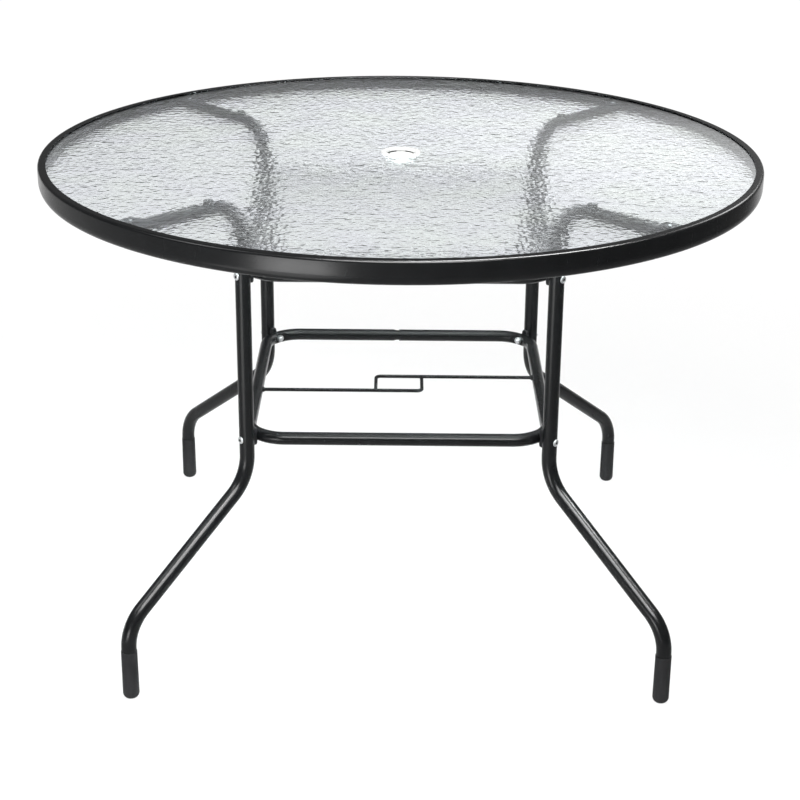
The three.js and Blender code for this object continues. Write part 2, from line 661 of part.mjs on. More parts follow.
function addBracedJoint(corner, cornerName, brace, shapes) {
  const label = `${brace.name}_${cornerName}`;
  const saddle = addPart(corner, `saddle_${label}`, shapes.saddle, SADDLE_PLASTIC);
  saddle.position.z = brace.height;
  const bolt = addPart(corner, `bolt_${label}`, shapes.bolt, ZINC);
  bolt.rotation.y = Math.PI / 2;
  bolt.position.set(boltSeat, 0, brace.height);
  const nut = addPart(corner, `nut_${label}`, shapes.nut, ZINC);
  nut.rotation.y = -Math.PI / 2;
  nut.position.set(nutSeat, 0, brace.height);
}

function addCorner(table, { name, azimuth }, shapes) {
  const corner = new THREE.Group();
  corner.rotation.z = azimuth;
  table.add(corner);
  addPart(corner, `leg_${name}`, shapes.leg, BLACK_PAINT);
  const cap = addPart(corner, `foot_cap_${name}`, shapes.footCap, CAP_PLASTIC);
  cap.position.x = FOOT_CIRCLE_RADIUS;
  addPart(corner, `glass_pad_${name}`, shapes.pad, RUBBER);
  addPart(corner, `rim_bracket_${name}`, shapes.bracket, BLACK_PAINT);
  const screw = addPart(corner, `bracket_screw_${name}`, shapes.screw, ZINC);
  screw.rotation.x = Math.PI;
  screw.position.set(bracketScrewCircle, 0, screwSeat);
  BRACES.forEach((brace) => addBracedJoint(corner, name, brace, shapes));
}

function buildTable() {
  const table = new THREE.Group();
  addPart(table, 'rim', rimGeometry(), BLACK_PAINT);
  addPart(table, 'glass_top', glassGeometry(), PEBBLED_GLASS);
  addPart(table, 'umbrella_ring', umbrellaRingGeometry(), WHITE_PLASTIC);
  const braceShape = braceGeometry();
  BRACES.forEach(({ name, height }) => {
    addPart(table, `${name}_brace`, braceShape, BLACK_PAINT).position.z = height;
  });
  const wireShape = guideWireGeometry();
  GUIDE_WIRES.forEach(({ name, turn }) => {
    const wire = addPart(table, name, wireShape, BLACK_PAINT);
    wire.rotation.z = turn;
    wire.position.z = LOWER_BRACE_HEIGHT;
  });
  const shapes = {
    leg: legGeometry(),
    footCap: footCapGeometry(),
    pad: padGeometry(),
    bracket: bracketGeometry(),
    saddle: saddleGeometry(),
    bolt: boltGeometry(boltLength),
    screw: boltGeometry(screwLength),
    nut: nutGeometry(),
  };
  CORNERS.forEach((corner) => addCorner(table, corner, shapes));
  return table;
}

export default buildTable();
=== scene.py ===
"""Smooth pieces, finishes and a plain studio for a round umbrella table with a pebbled glass top.

Metres, +Z up, with the origin on the floor under the middle of the umbrella hole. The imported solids
are the fixed frame: every piece made here takes its size and place from them or from the same stock sizes.
"""

import logging
import math
from collections.abc import Callable, Iterable, Sequence
from dataclasses import dataclass, field
from enum import Enum

import bmesh
import bpy
from mathutils import Matrix, Vector


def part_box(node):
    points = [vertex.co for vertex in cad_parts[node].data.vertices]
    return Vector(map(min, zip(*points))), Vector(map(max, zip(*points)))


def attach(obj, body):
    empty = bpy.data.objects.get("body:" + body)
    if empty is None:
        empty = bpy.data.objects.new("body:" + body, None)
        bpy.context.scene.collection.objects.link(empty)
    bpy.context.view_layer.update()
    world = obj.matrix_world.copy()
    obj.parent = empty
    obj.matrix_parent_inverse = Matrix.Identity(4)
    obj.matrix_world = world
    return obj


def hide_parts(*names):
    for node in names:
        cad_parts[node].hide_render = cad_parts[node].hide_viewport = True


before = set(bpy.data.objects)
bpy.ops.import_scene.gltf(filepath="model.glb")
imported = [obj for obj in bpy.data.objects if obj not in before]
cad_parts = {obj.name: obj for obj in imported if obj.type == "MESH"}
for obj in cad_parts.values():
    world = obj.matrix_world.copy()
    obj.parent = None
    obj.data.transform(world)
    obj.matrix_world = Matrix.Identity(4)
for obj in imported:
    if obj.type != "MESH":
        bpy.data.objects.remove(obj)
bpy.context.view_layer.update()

LOG = logging.getLogger("umbrella_table")
Socket = bpy.types.NodeSocket
Material = bpy.types.Material
Mesh = bpy.types.Mesh
Pair = tuple[float, float]
Triple = tuple[float, float, float]

MM = 0.001
TABLE_BODY = "table"
RING_BODY = "umbrella_ring"
FIT_GAP = 0.3 * MM
MERGE_GAP = 0.001 * MM
EDGE_ROUNDING = 0.6
SMOOTH_ANGLE = math.radians(35)


class Corner(Enum):
    """A leg of the table, with the way it points from the middle, in degrees about +Z."""

    FRONT_LEFT = -135.0
    FRONT_RIGHT = -45.0
    BACK_RIGHT = 45.0
    BACK_LEFT = 135.0

    @property
    def label(self) -> str:
        """The corner's name as it stands in the names of the nodes."""
        return self.name.lower()

    @property
    def turn(self) -> Matrix:
        """The turn about +Z from the +X axis to this corner."""
        return Matrix.Rotation(math.radians(self.value), 4, "Z")


class Level(Enum):
    """One of the two braces."""

    LOWER = "lower"
    UPPER = "upper"

    @property
    def height(self) -> float:
        """Height of the middle of the brace's tube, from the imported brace."""
        low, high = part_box(f"{self.value}_brace")
        return (low.z + high.z) / 2


# Where each leg is bolted to each brace
JOINTS = [(level, corner) for level in Level for corner in Corner]


@dataclass(frozen=True)
class Tube:
    """A round tube or wire of one stock size."""

    radius: float
    sides: int


@dataclass(frozen=True)
class Stock:
    """Sizes that several sub-assemblies share."""

    leg: Tube = Tube(radius=11 * MM, sides=48)
    brace: Tube = Tube(radius=9.5 * MM, sides=40)
    wire: Tube = Tube(radius=2.75 * MM, sides=20)
    post_circle: float = 312 * MM
    foot_circle: float = 540 * MM
    brace_half_side: float = 220 * MM
    saddle_web: float = 2.5 * MM
    press_depth: float = 4.4 * MM

    @property
    def brace_corner_circle(self) -> float:
        """Distance of the brace's middle line from the table's middle, at a corner."""
        inside_post = self.post_circle - self.leg.radius - self.saddle_web - 2 * FIT_GAP
        return inside_post - self.brace.radius

    @property
    def brace_bend(self) -> float:
        """Radius of a corner of a brace, which brings it to the saddle."""
        return (math.sqrt(2) * self.brace_half_side - self.brace_corner_circle) / (math.sqrt(2) - 1)


STOCK = Stock()


class Signal:
    """A number that a node gives, which can be used in a sum."""

    def __init__(self, sheet: "NodeSheet", socket: Socket) -> None:
        """Keeps the socket and the sheet that its node is on."""
        self.sheet = sheet
        self.socket = socket

    def math(self, operation: str, *others: "Signal | float", clamp: bool = False) -> "Signal":
        """Adds a Math node that starts from this number.

        Args:
            operation: the Math node's operation.
            others: its other inputs.
            clamp: whether the result is kept between 0 and 1.

        Returns:
            The node's result.
        """
        inputs = dict(enumerate([self, *others]))
        return self.sheet.number("ShaderNodeMath", {"operation": operation, "use_clamp": clamp}, inputs)

    def __add__(self, other: "Signal | float") -> "Signal":
        """This number plus another."""
        return self.math("ADD", other)

    __radd__ = __add__

    def __sub__(self, other: "Signal | float") -> "Signal":
        """This number less another."""
        return self.math("SUBTRACT", other)

    def __rsub__(self, other: float) -> "Signal":
        """Another number less this one."""
        return self.math("MULTIPLY", -1.0).math("ADD", other)

    def __mul__(self, other: "Signal | float") -> "Signal":
        """This number times another."""
        return self.math("MULTIPLY", other)

    __rmul__ = __mul__

    def __pow__(self, other: float) -> "Signal":
        """This number to a power."""
        return self.math("POWER", other)

    def held(self, times: float = 1.0) -> "Signal":
        """This number times another, kept between 0 and 1."""
        return self.math("MULTIPLY", times, clamp=True)

    def between(self, low: float, high: float) -> "Signal":
        """This number, kept between two others."""
        return self.math("MAXIMUM", low).math("MINIMUM", high)


class NodeSheet:
    """A node tree that is filled from Python."""

    pebble_smoothness = 0.3
    pebble_fullness = 2.0
    pebble_gain = 2.4

    def __init__(self, tree: bpy.types.NodeTree) -> None:
        """Keeps the tree."""
        self.tree = tree

    def add(self, kind: str, settings: dict | None = None, inputs: dict | None = None) -> bpy.types.Node:
        """Adds any node.

        Args:
            kind: the node's type.
            settings: its properties, set first.
            inputs: values, sockets or signals, by input name or number.

        Returns:
            The node.
        """
        node = self.tree.nodes.new(kind)
        for name, value in (settings or {}).items():
            setattr(node, name, value)
        for key, value in (inputs or {}).items():
            self.feed(node.inputs[key], value)
        return node

    def result(self, kind: str, settings: dict | None = None, inputs: dict | None = None,
               output: str | int = 0) -> Socket:
        """Adds a node and gives one of its outputs."""
        return self.add(kind, settings, inputs).outputs[output]

    def number(self, kind: str, settings: dict | None = None, inputs: dict | None = None,
               output: str | int = 0) -> Signal:
        """Adds a node and gives one of its outputs as a number."""
        return Signal(self, self.result(kind, settings, inputs, output))

    def feed(self, socket: Socket, value: object) -> None:
        """Links a socket or signal to an input, or sets the input's value."""
        source = value.socket if isinstance(value, Signal) else value
        if isinstance(source, Socket):
            self.tree.links.new(source, socket)
        else:
            socket.default_value = source

    def axes(self, place: Socket) -> tuple[Signal, ...]:
        """The three numbers of a place."""
        split = self.add("ShaderNodeSeparateXYZ", {}, {0: place})
        return tuple(Signal(self, output) for output in split.outputs)

    def pebbles(self, inputs: dict) -> Signal:
        """Rolled domes, from 0 in the middle of each to about 1 between them."""
        settings = {"feature": "SMOOTH_F1", "voronoi_dimensions": "2D"}
        values = {**inputs, "Smoothness": self.pebble_smoothness}
        reach = self.number("ShaderNodeTexVoronoi", settings, values)
        return reach ** self.pebble_fullness * self.pebble_gain


class MaterialSheet(NodeSheet):
    """The node tree of one material, with the textures that the finishes use."""

    def __init__(self, name: str) -> None:
        """Starts an empty material."""
        self.material = bpy.data.materials.new(name)
        self.material.use_nodes = True
        super().__init__(self.material.node_tree)
        self.tree.nodes.clear()
        self.place = self.result("ShaderNodeTexCoord", output="Object")

    def noise(self, size: float, detail: float = 2.0, stretch: Triple = (1, 1, 1),
              roughness: float = 0.5) -> Signal:
        """Cloudy noise from 0 to 1.

        Args:
            size: size of a cloud, in metres.
            detail: how many finer layers it has.
            stretch: share of the size along each axis.
            roughness: strength of the finer layers.

        Returns:
            The noise.
        """
        scale = tuple(1 / share for share in stretch)
        placed = self.result("ShaderNodeMapping", {}, {"Vector": self.place, "Scale": scale})
        values = {"Vector": placed, "Scale": 1 / size, "Detail": detail, "Roughness": roughness}
        return self.number("ShaderNodeTexNoise", {}, values)

    def shade(self, amount: Signal, low: tuple | Socket, high: tuple) -> Socket:
        """A colour between two, by an amount from 0 to 1."""
        node = self.add("ShaderNodeMix", {"data_type": "RGBA", "clamp_factor": True})
        self.feed(node.inputs[0], amount)
        self.feed(node.inputs[6], (*low, 1.0) if isinstance(low, tuple) else low)
        self.feed(node.inputs[7], (*high, 1.0))
        return node.outputs[2]

    def bump(self, height: Signal, depth: float) -> Socket:
        """The normal of a surface with some relief, whose depth is in metres."""
        return self.result("ShaderNodeBump", {}, {"Height": height, "Distance": depth, "Strength": 1.0})

    def principled(self, inputs: dict) -> Socket:
        """Adds the main shader with its values."""
        return self.result("ShaderNodeBsdfPrincipled", {}, inputs)

    def finish(self, surface: Socket) -> Material:
        """Ends the material with its surface."""
        self.add("ShaderNodeOutputMaterial", {}, {"Surface": surface})
        return self.material

    def coat(self, inputs: dict) -> Material:
        """Ends the material with the main shader."""
        return self.finish(self.principled(inputs))


@dataclass(frozen=True)
class PowderCoat:
    """Black powder coat, baked on steel, with a faint orange peel and dull scuffs."""

    name: str = "black_powder_coat"
    slot: str = "black_paint"
    deep: Triple = (0.0030, 0.0033, 0.0036)
    pale: Triple = (0.0065, 0.0070, 0.0076)
    gloss_roughness: float = 0.21
    mottle_roughness: float = 0.06
    worn_roughness: float = 0.10
    specular: float = 0.24
    mottle_size: float = 24 * MM
    mottle_tone: float = 0.8
    worn_tone: float = 0.5
    peel_size: float = 1.4 * MM
    peel_share: float = 0.3
    wave_size: float = 13 * MM
    wave_depth: float = 0.045 * MM
    scuff_size: float = 9 * MM
    scuff_start: float = 0.62
    scuff_contrast: float = 9.0

    def material(self) -> Material:
        """Builds the paint."""
        sheet = MaterialSheet(self.name)
        mottle = sheet.noise(self.mottle_size, detail=4.0)
        waves = sheet.noise(self.wave_size, detail=1.0)
        relief = waves + self.peel_share * sheet.noise(self.peel_size, detail=1.0)
        scuffs = sheet.noise(self.scuff_size, detail=6.0, stretch=(1, 1, 4), roughness=0.7)
        worn = (scuffs - self.scuff_start).held(self.scuff_contrast)
        tone = mottle * self.mottle_tone + worn * self.worn_tone
        rough = self.mottle_roughness * mottle + self.worn_roughness * worn
        return sheet.coat({
            "Base Color": sheet.shade(tone, self.deep, self.pale),
            "Roughness": self.gloss_roughness + rough,
            "Specular IOR Level": self.specular,
            "Normal": sheet.bump(relief, self.wave_depth),
        })


@dataclass(frozen=True)
class MouldedPlastic:
    """Moulded plastic with a fine grain, flow marks, a tone that pales towards the floor, and painted shade
    in the seam of the ring's bore.
    """

    name: str
    slot: str
    deep: Triple
    pale: Triple
    roughness: float
    specular: float = 0.35
    grain_size: float = 0.7 * MM
    grain_depth: float = 0.03 * MM
    grain_roughness: float = 0.12
    flow_size: float = 7 * MM
    flow_tone: float = 0.9
    flow_roughness: float = 0.08
    dirt_height: float = 0.0
    dirt_size: float = 3 * MM
    seam_drop: float = 0.0
    seam_width: float = 2.2 * MM
    seam_contrast: float = 8.0
    # Colour of the painted shade in the seam, and how much painted light pales it near its middle.
    seam_grime: Triple = (0.012, 0.012, 0.011)
    wiped_half: float = 7 * MM
    wiped_contrast: float = 6.0
    wiped_share: float = 0.6

    def material(self) -> Material:
        """Builds the plastic."""
        sheet = MaterialSheet(self.name)
        flow = sheet.noise(self.flow_size, detail=3.0, stretch=(1, 1, 5))
        grain = sheet.noise(self.grain_size, detail=2.0)
        tone = flow * self.flow_tone
        # Lighter towards the bottom, in patches.
        if self.dirt_height:
            low = 1 - sheet.axes(sheet.place)[2] * (1 / self.dirt_height)
            tone = tone + low.math("MAXIMUM", 0.0) * sheet.noise(self.dirt_size, detail=5.0)
        colour = sheet.shade(tone, self.deep, self.pale)
        # Painted shade in the seam of the bore, paler near its middle as painted light.
        if self.seam_drop:
            colour = sheet.shade(self._seam(sheet), colour, self.seam_grime)
        rough = self.grain_roughness * (grain - 0.5) + self.flow_roughness * (flow - 0.5)
        return sheet.coat({
            "Base Color": colour,
            "Roughness": self.roughness + rough,
            "Specular IOR Level": self.specular,
            "Normal": sheet.bump(grain, self.grain_depth),
        })

    def _seam(self, sheet: MaterialSheet) -> Signal:
        """1 in the seam inside the bore of the ring, where shade is painted, less near the middle of its
        width, where light is painted, and 0 elsewhere.
        """
        _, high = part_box("umbrella_ring")
        across, along, height = sheet.axes(sheet.place)
        off = (height - (high.z - self.seam_drop)).math("ABSOLUTE")
        near = (1 - off * (2 / self.seam_width)).held(self.seam_contrast)
        bore = (across * across + along * along).math("LESS_THAN", UmbrellaRing.seam_reach**2)
        seam_lit = (1 - (across * (1 / self.wiped_half)).math("ABSOLUTE")).held(self.wiped_contrast)
        return near * bore * (1 - self.wiped_share * seam_lit)


@dataclass(frozen=True)
class ZincPlate:
    """Bright zinc plate on steel, a little clouded, with fine turning marks and painted shade in the
    sockets.
    """

    name: str = "bright_zinc"
    slot: str = "zinc"
    deep: Triple = (0.55, 0.56, 0.58)
    pale: Triple = (0.86, 0.87, 0.88)
    grime: Triple = (0.012, 0.012, 0.013)
    roughness: float = 0.22
    cloud_size: float = 2.2 * MM
    cloud_roughness: float = 0.22
    grime_roughness: float = 0.3
    mark_size: float = 0.5 * MM
    mark_depth: float = 0.02 * MM

    def material(self) -> Material:
        """Builds the plating."""
        sheet = MaterialSheet(self.name)
        cloud = sheet.noise(self.cloud_size, detail=4.0)
        marks = sheet.noise(self.mark_size, detail=2.0)
        # The recess attribute marks the socket. The dark, non-metal colour there is painted shade.
        recess = sheet.number("ShaderNodeAttribute", {"attribute_name": "recess"}, output="Fac")
        plate = sheet.shade(cloud, self.deep, self.pale)
        return sheet.coat({
            "Base Color": sheet.shade(recess, plate, self.grime),
            "Metallic": 1 - recess,
            "Roughness": self.roughness + self.cloud_roughness * cloud + self.grime_roughness * recess,
            "Normal": sheet.bump(marks, self.mark_depth),
        })


@dataclass(frozen=True)
class PebbledGlass:
    """Clear tempered glass, smooth above, with a rolled pebble relief and a faint haze below."""

    name: str = "pebbled_glass"
    slot: str = "pebbled_glass"
    green: Triple = (0.945, 0.995, 0.980)
    blue: Triple = (0.930, 0.958, 1.000)
    tint_size: float = 90 * MM
    tint_contrast: float = 2.6
    tint_start: float = 0.65
    ripple_size: float = 6.6 * MM
    ripple_depth: float = 0.115 * MM
    ripple_randomness: float = 0.85
    roughness: float = 0.008
    haze: float = 0.085
    dust_size: float = 14 * MM
    dust_roughness: float = 0.03
    bending: float = 1.5
    shadow_share: float = 0.85

    def material(self) -> Material:
        """Builds the glass."""
        sheet = MaterialSheet(self.name)
        ripple = sheet.pebbles({"Vector": sheet.place, "Scale": 1 / self.ripple_size,
                                "Randomness": self.ripple_randomness})
        dust = sheet.noise(self.dust_size, detail=4.0)
        tint = sheet.noise(self.tint_size, detail=1.0) * self.tint_contrast - self.tint_start
        below = self._below(sheet)
        glass = sheet.principled({
            "Base Color": sheet.shade(tint, self.green, self.blue),
            "Roughness": self.roughness + self.dust_roughness * dust + self.haze * below,
            "IOR": self.bending,
            "Transmission Weight": 1.0,
            "Normal": sheet.bump(ripple * below, self.ripple_depth),
        })
        open_to_light = sheet.result("ShaderNodeBsdfTransparent", {}, {"Color": (*self.green, 1.0)})
        shadow = sheet.number("ShaderNodeLightPath", output="Is Shadow Ray")
        mixed = {0: shadow * self.shadow_share, 1: glass, 2: open_to_light}
        return sheet.finish(sheet.result("ShaderNodeMixShader", {}, mixed))

    @staticmethod
    def _below(sheet: MaterialSheet) -> Signal:
        """1 on the underside and 0 on top, by the height of the surface."""
        low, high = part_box("glass_top")
        return sheet.axes(sheet.place)[2].math("LESS_THAN", (low.z + high.z) / 2)


@dataclass(frozen=True)
class Rubber:
    """Dull black rubber with a dusty bloom."""

    name: str = "black_rubber"
    slot: str = "rubber"
    deep: Triple = (0.010, 0.010, 0.010)
    pale: Triple = (0.035, 0.034, 0.033)
    specular: float = 0.3
    roughness: float = 0.74
    bloom_roughness: float = 0.14
    bloom_size: float = 2.5 * MM
    bloom_depth: float = 0.05 * MM

    def material(self) -> Material:
        """Builds the rubber."""
        sheet = MaterialSheet(self.name)
        bloom = sheet.noise(self.bloom_size, detail=5.0)
        return sheet.coat({
            "Base Color": sheet.shade(bloom, self.deep, self.pale),
            "Roughness": self.roughness + self.bloom_roughness * bloom,
            "Specular IOR Level": self.specular,
            "Normal": sheet.bump(bloom, self.bloom_depth),
        })


Finish = PowderCoat | MouldedPlastic | ZincPlate | PebbledGlass | Rubber

BLACK_PAINT = PowderCoat()
ZINC = ZincPlate()
GLASS = PebbledGlass()
RUBBER = Rubber()
# The white plastic has painted shade in the seam of the ring's bore.
WHITE_PLASTIC = MouldedPlastic(
    "white_plastic", "white_plastic", (0.80, 0.81, 0.80), (0.88, 0.88, 0.87), roughness=0.34,
    grain_depth=0.01 * MM, seam_drop=4.7 * MM)
CAP_PLASTIC = MouldedPlastic(
    "foot_cap_plastic", "cap_plastic", (0.009, 0.009, 0.010), (0.022, 0.022, 0.023), roughness=0.58,
    specular=0.16, dirt_height=60 * MM)
SADDLE_PLASTIC = MouldedPlastic(
    "saddle_plastic", "saddle_plastic", (0.006, 0.006, 0.007), (0.012, 0.012, 0.013), roughness=0.48,
    specular=0.2)


class Paintbox:
    """Makes each material once and hands it out."""

    def __init__(self) -> None:
        """Starts with nothing made."""
        self._made: dict[str, Material] = {}

    def get(self, finish: Finish) -> Material:
        """The material of a finish."""
        if finish.name not in self._made:
            self._made[finish.name] = finish.material()
        return self._made[finish.name]


PAINTS = Paintbox()


@dataclass(frozen=True)
class Station:
    """One ring of points of a turned shape: its radius, its height and how many points it has."""

    radius: float
    height: float
    count: int


@dataclass(frozen=True)
class Route:
    """Straight runs of a bent tube, joined by round bends."""

    corners: tuple[Vector, ...]
    bends: tuple[float, ...]
    step: float = math.radians(4)

    def points(self) -> list[Vector]:
        """The points along the middle of the tube."""
        points = [self.corners[0]]
        for *corners, radius in zip(self.corners, self.corners[1:], self.corners[2:], self.bends):
            points += self._bend(*corners, radius)
        return [*points, self.corners[-1]]

    def _bend(self, before: Vector, corner: Vector, after: Vector, radius: float) -> list[Vector]:
        """The points of one bend."""
        into = (corner - before).normalized()
        out = (after - corner).normalized()
        turn = into.angle(out)
        start = corner - into * radius * math.tan(turn / 2)
        side = (out - into * out.dot(into)).normalized()
        steps = max(2, math.ceil(turn / self.step))
        angles = [turn * i / steps for i in range(steps + 1)]
        return [start + into * radius * math.sin(a) + side * radius * (1 - math.cos(a)) for a in angles]


def rounded(outline: Sequence[Triple], closed: bool,
            steps: int = 5) -> list[Pair]:
    """Rounds the corners of an outline.

    Args:
        outline: points with the radius of each corner.
        closed: whether the last point joins the first.
        steps: how many stretches a round corner has.

    Returns:
        The points of the rounded outline.
    """
    points: list[Pair] = []
    last = len(outline) - 1
    for i, (x, y, radius) in enumerate(outline):
        here = Vector((x, y))
        if radius == 0 or (not closed and i in (0, last)):
            points.append((x, y))
            continue
        before = (Vector(outline[i - 1][:2]) - here).normalized()
        after = (Vector(outline[(i + 1) % len(outline)][:2]) - here).normalized()
        half = before.angle(after) / 2
        middle = here + (before + after).normalized() * radius / math.sin(half)
        start = here + before * radius / math.tan(half) - middle
        turn = start.angle_signed(here + after * radius / math.tan(half) - middle)
        for k in range(steps + 1):
            points.append(tuple(middle + Matrix.Rotation(-turn * k / steps, 2) @ start))
    return points


def quarter_turn(steps: int) -> list[float]:
    """Angles from nothing to a right angle."""
    return [math.pi / 2 * i / steps for i in range(steps + 1)]


def full_turn(count: int) -> list[float]:
    """Angles once round."""
    return [2 * math.pi * k / count for k in range(count)]


def around(radius: float, angle: float, height: float) -> Vector:
    """A point at a radius and an angle about +Z."""
    return Vector((radius * math.cos(angle), radius * math.sin(angle), height))


def off_flat(angle: float) -> float:
    """An angle's distance from the middle of the nearest side of a hexagon."""
    return (angle + math.pi / 6) % (math.pi / 3) - math.pi / 6


def sheet_outline(middle: Sequence[Pair], thickness: float) -> list[Pair]:
    """The outline of a bent sheet with rounded edges.

    Args:
        middle: points along the middle of the sheet.
        thickness: its thickness.

    Returns:
        The closed outline.
    """
    points = [Vector(point) for point in middle]
    half = thickness / 2
    left: list[Vector] = []
    right: list[Vector] = []
    for i, point in enumerate(points):
        into = (point - points[i - 1] if i else points[1] - point).normalized()
        out = (points[i + 1] - point if i + 1 < len(points) else into).normalized()
        normal = Vector((-into.y - out.y, into.x + out.x)).normalized()
        reach = half / abs(normal.dot(Vector((-into.y, into.x))))
        left.append(point + normal * reach)
        right.append(point - normal * reach)
    start = (points[0] - points[1]).normalized() * half
    end = (points[-1] - points[-2]).normalized() * half
    for side in (left, right):
        side[0] = side[0] + start * EDGE_ROUNDING
        side[-1] = side[-1] + end * EDGE_ROUNDING
    outline = [*left, points[-1] + end, *reversed(right), points[0] + start]
    return [tuple(point) for point in outline]


def stations(profile: Iterable[Pair], count: int) -> list[Station]:
    """The rings of a turned profile, with a single point on the axis."""
    return [Station(radius, height, count if radius > 0 else 1) for radius, height in profile]


class MeshMaker:
    """Gathers points and faces, and turns them into a piece."""

    def __init__(self) -> None:
        """Starts empty."""
        self.points: list[Vector] = []
        self.faces: list[tuple[int, ...]] = []

    def turn_rings(self, rings: Sequence[Station], closed: bool,
                   place: Matrix | None = None) -> "MeshMaker":
        """Adds a shape turned about +Z.

        Args:
            rings: its rings in order. A neighbour has as many points, or half or twice as many, or one.
            closed: whether the last ring joins the first.
            place: where the shape goes.

        Returns:
            This maker.
        """
        starts = []
        for ring in rings:
            starts.append(len(self.points))
            for angle in full_turn(ring.count):
                point = around(ring.radius, angle, ring.height)
                self.points.append(place @ point if place else point)
        pairs = list(zip(range(len(rings)), range(1, len(rings))))
        if closed:
            pairs.append((len(rings) - 1, 0))
        for a, b in pairs:
            self._join_rings(starts[a], rings[a].count, starts[b], rings[b].count)
        return self

    def _join_rings(self, a: int, count_a: int, b: int, count_b: int) -> None:
        """Joins two rings of points."""
        for k in range(min(count_a, count_b) if 1 not in (count_a, count_b) else max(count_a, count_b)):
            if count_a == count_b:
                n = (k + 1) % count_a
                self.faces.append((a + k, b + k, b + n, a + n))
            elif count_a == 1:
                self.faces.append((a, b + k, b + (k + 1) % count_b))
            elif count_b == 1:
                self.faces.append((a + k, b, a + (k + 1) % count_a))
            elif count_b > count_a:
                n, m = (k + 1) % count_a, (2 * k + 2) % count_b
                self.faces.append((a + k, b + 2 * k, b + 2 * k + 1))
                self.faces.append((a + k, b + 2 * k + 1, a + n))
                self.faces.append((a + n, b + 2 * k + 1, b + m))
            else:
                n, m = (k + 1) % count_b, (2 * k + 2) % count_a
                self.faces.append((a + 2 * k, b + k, a + 2 * k + 1))
                self.faces.append((a + 2 * k + 1, b + k, b + n))
                self.faces.append((a + 2 * k + 1, b + n, a + m))

    def add_grid(self, rings: Sequence[Sequence[Vector]], place: Matrix | None = None,
                 closed: bool = True) -> "MeshMaker":
        """Adds closed rings of equal length, each joined to the next.

        Args:
            rings: the points of each ring.
            place: where the shape goes.
            closed: whether the last ring joins the first.

        Returns:
            This maker.
        """
        start, width = len(self.points), len(rings[0])
        for ring in rings:
            self.points += [place @ point for point in ring] if place else ring
        for i in range(len(rings) if closed else len(rings) - 1):
            a, b = start + i * width, start + ((i + 1) % len(rings)) * width
            for k in range(width):
                n = (k + 1) % width
                self.faces.append((a + k, b + k, b + n, a + n))
        return self

    def mesh(self, name: str, smooth_angle: float = SMOOTH_ANGLE) -> Mesh:
        """The mesh, with its faces out and smooth but for its sharp edges."""
        mesh = bpy.data.meshes.new(name)
        mesh.from_pydata([tuple(point) for point in self.points], [], self.faces)
        tidy_mesh(mesh, smooth_angle)
        return mesh


def tidy_mesh(mesh: Mesh, smooth_angle: float) -> None:
    """Merges double points, turns faces out and shades a mesh.

    Args:
        mesh: the mesh to change.
        smooth_angle: edges that are sharper than this stay sharp.
    """
    work = bmesh.new()
    work.from_mesh(mesh)
    bmesh.ops.remove_doubles(work, verts=work.verts, dist=MERGE_GAP)
    bmesh.ops.recalc_face_normals(work, faces=work.faces)
    for face in work.faces:
        face.smooth = True
    for edge in work.edges:
        edge.smooth = len(edge.link_faces) == 2 and edge.calc_face_angle() < smooth_angle
    work.to_mesh(mesh)
    work.free()


def add_object(name: str, data: bpy.types.ID) -> bpy.types.Object:
    """Adds an object to the scene."""
    made = bpy.data.objects.new(name, data)
    bpy.context.scene.collection.objects.link(made)
    return made


def show(name: str, mesh: Mesh, finish: Finish, nodes: Sequence[str],
         body: str = TABLE_BODY) -> None:
    """Puts a finished mesh into the scene as a piece of the table.

    Args:
        name: the piece's name.
        mesh: its mesh, in place.
        finish: its finish.
        nodes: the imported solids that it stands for.
        body: the body that it rides on.
    """
    piece = add_object(name, mesh)
    mesh.materials.clear()
    mesh.materials.append(PAINTS.get(finish))
    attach(piece, body)
    if nodes:
        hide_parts(*nodes)
    LOG.info("%s: %d faces, stands for %s", name, len(mesh.polygons), ", ".join(nodes) or "nothing")


def show_turned(name: str, rings: Sequence[Station], finish: Finish, nodes: Sequence[str],
                body: str = TABLE_BODY, closed: bool = True, place: Matrix | None = None) -> None:
    """Puts a shape turned about +Z into the scene as a piece of the table.

    Args:
        name: the piece's name.
        rings: the rings of the shape, in order.
        finish: its finish.
        nodes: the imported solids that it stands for.
        body: the body that it rides on.
        closed: whether the last ring joins the first.
        place: where the shape goes.
    """
    show(name, MeshMaker().turn_rings(rings, closed, place).mesh(name), finish, nodes, body)


